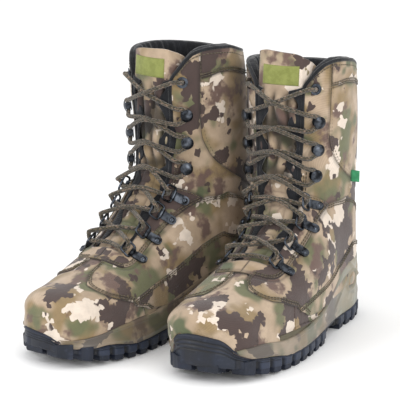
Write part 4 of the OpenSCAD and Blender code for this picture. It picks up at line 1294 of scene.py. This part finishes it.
def makeSole(side):
    k = np.arange(outlineCount)
    x = outline[:, 0]
    low = treadBase(x)
    top = topLines[side]
    mask = lugMask(x)
    bumper = np.clip((x - 262) / 18, 0, 1)
    bumper = bumper * bumper * (3 - 2 * bumper)
    rows = []
    raised = []
    edgeShadeRows = []
    v = np.concatenate([[0, 0.04, 0.1], np.linspace(0.16, 0.9, 26), [0.94, 0.97, 1.0]])
    for f in v:
        z = low + (top - low) * f
        leanZ = np.clip((z - 24) / 20, 0, 1)
        leanZ = leanZ * leanZ * (3 - 2 * leanZ)
        follow = flaredInside(k, z) - 3.4
        inside = follow * leanZ * bumper
        inside = inside + 1.6 * np.clip(1 - f / 0.1, 0, 1) ** 2
        # side lugs climb the wall and stop under a plain strip
        lug = mask * np.clip((0.78 - f) / 0.14, 0, 1) * (1 - 0.65 * bumper)
        gap = (1 - mask) * np.clip((0.62 - f) / 0.16, 0, 1) * (1 - 0.6 * bumper)
        heelArea = np.clip((100 - x) / 8, 0, 1) + np.clip((x - 126) / 8, 0, 1)
        lug, gap = lug * np.clip(heelArea, 0, 1), gap * np.clip(heelArea, 0, 1)
        inside = inside - 1.9 * lug + 2.4 * gap
        # three grooves round the toe bumper
        groove = np.zeros(outlineCount)
        for g in (0.54, 0.68, 0.82):
            groove += np.exp(-((f - g) / 0.028) ** 2)
        groove = groove * np.clip((x - 232) / 14, 0, 1)
        inside = inside + 1.3 * groove
        rib = np.exp(-((f - 0.7) / 0.05) ** 2) * (1 - bumper)
        inside = inside - 0.5 * rib
        inside = inside + 1.4 * np.clip((f - 0.94) / 0.06, 0, 1) ** 2
        xy = outline - outNormal * inside[:, None]
        rows.append(np.concatenate([xy, z[:, None]], 1))
        raised.append(np.clip(lug + rib * 0.5, 0, 1))
        # painted shade in the gaps between the side lugs and in the toe grooves
        edgeShadeRows.append(np.clip(gap * 0.9 + groove * 0.9, 0, 1))
    # the top edge turns inwards and down behind the cloth
    for push, drop in ((2.2, -0.1), (4.4, 0.6), (5.2, 5.0)):
        inside = flaredInside(k, top) * bumper - 3.4 * bumper + 0.8 * (1 - bumper) + 1.4 + push
        xy = outline - outNormal * inside[:, None]
        rows.append(np.concatenate([xy, (top - drop)[:, None]], 1))
        raised.append(np.zeros(outlineCount))
        # painted shade on the top edge where it turns in behind the cloth
        edgeShadeRows.append(np.full(outlineCount, 0.3 if drop < 3 else 0.9))
    pts = np.array(rows)
    faces = gridFaces(len(rows), outlineCount, True)
    # underside: rings shrinking to the middle line
    under = []
    for f in (0.06, 0.2, 0.4, 0.62, 0.84, 0.985):
        middle = np.clip(x, 24, 276)
        centre = np.stack([middle, np.interp(middle, [24, 140, 276], [-2, 3, -10])], 1)
        xy = rows[0][:, :2] * (1 - f) + centre * f
        under.append(np.concatenate([xy, treadBase(xy[:, 0])[:, None]], 1))
    underPts = np.array([rows[0]] + under)
    start = pts.shape[0] * outlineCount
    allPts = np.concatenate([pts.reshape(-1, 3), underPts.reshape(-1, 3)])
    faces = [tuple(reversed(f)) for f in faces]
    faces += gridFaces(len(underPts), outlineCount, True, start)
    raised = np.concatenate([np.array(raised).reshape(-1), np.zeros(underPts.shape[0] * outlineCount)])
    # the underside gets a steady painted shade of 0.2
    edge = np.concatenate([np.array(edgeShadeRows).reshape(-1), np.full(underPts.shape[0] * outlineCount, 0.2)])
    part = allPts, faces, {"raised": raised, "edge": edge}
    makePiece(side, "soleBody", part, "sole", "outsole")
    # tread blocks, bevelled, in three zones across the boot
    blocks = bmesh.new()
    for a in lugStarts:
        for zone in ("outer", "centre", "inner"):
            xs = np.linspace(a, a + soleSet["lugLength"], 5)
            wide = []
            for xx in xs:
                near = np.abs(outline[:, 0] - xx) < 2.5
                ys = outline[near][:, 1]
                wide.append((ys.min(), ys.max()))
            wide = np.array(wide)
            if zone == "centre":
                left, right = np.full(5, -9.0), np.full(5, 12.0)
            elif zone == "outer":
                left, right = np.full(5, 17.0), wide[:, 1] + 0.9
            else:
                left, right = wide[:, 0] - 0.9, np.full(5, -14.0)
            if (right - left).min() < 4:
                continue
            ground = springAt(xs)
            roof = treadBase(np.array([a + soleSet["lugLength"] / 2]))[0] + (4.0 if zone == "centre" else 8.5)
            mid = xs.mean()
            ring = []
            for level, shrink in ((0, 0.9), (1, 0.35), (2, 0.0)):
                z = (ground, ground + 1.6, np.full(5, roof))[level]
                xx = mid + (xs - mid) * (1 - shrink / 6)
                near = np.stack([xx, left + shrink, z], 1)
                far = np.stack([xx, right - shrink, z], 1)
                ring.append(np.concatenate([near, far[::-1]]))
            world = [[blocks.verts.new(tuple(q)) for q in toWorld(side, r)] for r in ring]
            for lowRing, highRing in ((world[0], world[1]), (world[1], world[2])):
                for i in range(10):
                    quad = [lowRing[i], lowRing[(i + 1) % 10], highRing[(i + 1) % 10], highRing[i]]
                    blocks.faces.new(quad if side == "left" else quad[::-1])
            blocks.faces.new(world[0][::-1] if side == "left" else world[0])
            blocks.faces.new(world[2] if side == "left" else world[2][::-1])
    bmesh.ops.recalc_face_normals(blocks, faces=blocks.faces)
    mesh = bpy.data.meshes.new(side + "_treadBlocks")
    blocks.to_mesh(mesh)
    blocks.free()
    mesh.materials.append(materials["sole"])
    lugs = bpy.data.objects.new(side + "_treadBlocks", mesh)
    bpy.context.collection.objects.link(lugs)
    bevel = lugs.modifiers.new("edges", "BEVEL")
    bevel.width = 0.0006
    bevel.segments = 2
    bevel.limit_method = "ANGLE"
    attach(lugs, side + "_boot")


onBoth("soles done", makeSole)

randSet = {"thick": 1.6, "reach": (64, 752)}
# upper line of the rand as outline step and height
randEdge = [
    [66, 31], [81, 32.5], [91, 32.5], [108, 33], [124, 31.5], [141, 29], [157, 28.5], [172, 29],
    [185, 30], [196, 31], [208, 32.5], [220, 36.5], [230, 43], [237, 50], [247, 56.5], [267, 63],
    [290, 66], [330, 68], [396, 68], [470, 68], [520, 62], [550, 54], [570, 46], [585, 41.5],
    [601, 36.5], [609, 35], [633, 35], [651, 35], [667, 34], [679, 32.5], [695, 30.5], [713, 28.5],
    [732, 27.5], [750, 28]
]


def randTop():
    stops = np.array(randEdge, float)
    return smoothRing(np.interp(np.arange(outlineCount), stops[:, 0], stops[:, 1]), 9)


def swirl(x, z):
    # moulded relief on the heel: a raised ring round an oval, and ribs that sweep off it
    dx, dz = x - 58.0, z - 43.0
    r = np.sqrt((dx / 1.35) ** 2 + dz ** 2)
    eye = 1.5 * np.exp(-((r - 9.5) / 1.3) ** 2) - 1.4 * np.exp(-((r - 6.2) / 1.5) ** 2)
    eye = eye + 1.0 * np.exp(-(r / 3.2) ** 2)
    arm = np.exp(-((dz - 13 - 0.35 * dx - 6 * np.sin(dx / 22)) / 2.2) ** 2)
    arm = arm * np.clip((36 - np.abs(dx)) / 14, 0, 1)
    arm2 = np.exp(-((dz + 3 + 0.5 * (dx - 14) - 5 * np.sin(dx / 15)) / 2.0) ** 2)
    arm2 = arm2 * np.clip((dx - 10) / 8, 0, 1) * np.clip((50 - dx) / 12, 0, 1)
    arm3 = np.exp(-((dz - 4 + 0.9 * (dx + 22)) / 2.2) ** 2) * np.clip((-10 - dx) / 8, 0, 1)
    return eye + 1.5 * arm + 1.3 * arm2 + 1.3 * arm3


def makeRand(side):
    xs = outline[:, 0]
    keep = np.arange(*randSet["reach"])
    nr = 64
    f = np.linspace(0, 1, nr)[:, None]
    top = np.maximum(randTop()[keep][None, :], topLines[side][keep][None, :] + 1.5)
    foot = topLines[side][keep][None, :] - 2.0
    z = foot + (top - foot) * f
    k = np.broadcast_to(keep[None, :], z.shape)
    x = np.broadcast_to(xs[keep][None, :], z.shape)
    heel = np.clip((112 - x) / 30, 0, 1)
    d = randSet["thick"] + 0.25 * softNoise(x / 19, z / 9, 91)
    d = d + swirl(x, z) * np.clip((125 - x) / 25, 0, 1)
    ridge = np.exp(-((f - 0.86) / 0.07) ** 2) * 0.9
    low = np.exp(-((f - 0.2) / 0.08) ** 2) * 0.6
    d = d + ridge + low
    d = d - (randSet["thick"] + 0.9) * np.clip((f - 0.93) / 0.07, 0, 1) ** 2
    ends = np.minimum(np.arange(len(keep)), np.arange(len(keep))[::-1])[None, :]
    d = d - (randSet["thick"] + 0.4) * np.clip(1 - ends / 20, 0, 1) ** 2
    pts = onBand(k, z, d)
    inner = onBand(k, z, -1.2 + 0 * d)
    # painted shade in the hollows of the heel swirl and along the rand's top where it meets the cloth
    swirlShade = np.clip(-swirl(x, z) * 0.6, 0, 1) * heel
    edge = np.maximum(swirlShade, np.clip((f - 0.95) / 0.05, 0, 1) * 0.8 + 0 * z)
    part = flipGrid(closedSheet(pts, inner, heel=heel, edge=edge))
    makePiece(side, "randBand", part, "rand", "rand")


def makeToeWrap(side):
    # lower edge of the toe cloth, pulled down over the last and under the bumper and the rand
    reach = np.arange(-170, 173)
    f = np.linspace(0, 1, 30)[:, None]
    foot = topLines[side][reach % outlineCount][None, :] - 3
    z = foot + (50 - foot) * f
    k = np.broadcast_to(reach[None, :] % outlineCount, z.shape)
    ends = np.minimum(np.arange(len(reach)), np.arange(len(reach))[::-1])[None, :]
    d = 0.5 - 1.5 * np.clip((z - 37) / 13, 0, 1) - 1.5 * np.clip(1 - ends / 30, 0, 1)
    top, under = onBand(k, z, d), onBand(k, z, d - 1.2)
    makePiece(side, "toeWrap", closedSheet(top, under, arcLengths(top)), "toe")


onBoth("rands done", makeRand, makeToeWrap)


def makeFootbed(side):
    s, j = gridOf(3.0, 10.6, 90, 9.6, 14.4, 60)
    part = shellGrid(s, j, depthInside - 3.6 + softLift(s, j, 81, 0.15), 3.0, rimOf(s.shape, 2), False)
    makePiece(side, "footbedFelt", part, "felt", "footbed")


onBoth("footbeds done", makeFootbed)

# metal and hidden parts keep their shape and get their own finish
for side in sides:
    finish = {"ring_clips": "blackSteel", "rivets": "gunmetal", "hooks": "blackSteel", "eyelets": "gunmetal",
              "midsole": "midsole", "shank": "springSteel", "insole_board": "board", "stiffeners": "plastic",
              "insulation": "batting", "aglets": "aglet"}
    for end in ("lateral", "medial"):
        for n in range(1, 5):
            finish["ring_%s_%d" % (end, n)] = "gunmetal"
    for key, name in finish.items():
        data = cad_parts[side + "_" + key].data
        if not data.materials:
            data.materials.append(materials[name])
        for i in range(len(data.materials)):
            data.materials[i] = materials[name]
print("finishes set")

stageSet = {"world": 0.93, "lightSize": 1.6, "aim": (0, 0, 0.12), "floor": 9,
            "lights": {"key": ((-1.3, -1.9, 1.7), 27), "fill": ((2.2, -1.2, 1.1), 27),
                       "top": ((0.1, 0.1, 2.4), 7)}}


def makeStage():
    floor = bpy.data.meshes.new("floor")
    far = stageSet["floor"]
    floor.from_pydata([(-far, -far, 0), (far, -far, 0), (far, far, 0), (-far, far, 0)], [], [(0, 1, 2, 3)])
    m, tree, shader = startMaterial("palePaintedFloor", {"Roughness": 0.9})
    coord = addNode(tree, "ShaderNodeTexCoord").outputs["Object"]
    colour = paint(tree, hexColour("#fcfcfc"), [("#ffffff", mottle(tree, coord, 3, 2, 0.5), None, 1)])
    tree.links.new(colour, shader.inputs["Base Color"])
    floor.materials.append(m)
    ob = bpy.data.objects.new("floor", floor)
    bpy.context.collection.objects.link(ob)
    world = bpy.data.worlds.new("studio")
    world.use_nodes = True
    world.node_tree.nodes["Background"].inputs[0].default_value = (1, 1, 1, 1)
    world.node_tree.nodes["Background"].inputs[1].default_value = stageSet["world"]
    bpy.context.scene.world = world
    for name, (place, power) in stageSet["lights"].items():
        light = bpy.data.lights.new(name, "AREA")
        light.size = stageSet["lightSize"]
        light.energy = power
        lamp = bpy.data.objects.new(name, light)
        lamp.location = place
        way = np.array(stageSet["aim"]) - np.array(place)
        tilt = math.atan2(math.hypot(way[0], way[1]), -way[2])
        lamp.rotation_euler = (tilt, 0, math.atan2(-way[0], way[1]))
        bpy.context.collection.objects.link(lamp)
    bpy.context.scene.view_settings.view_transform = "Standard"


makeStage()
print("stage lit")
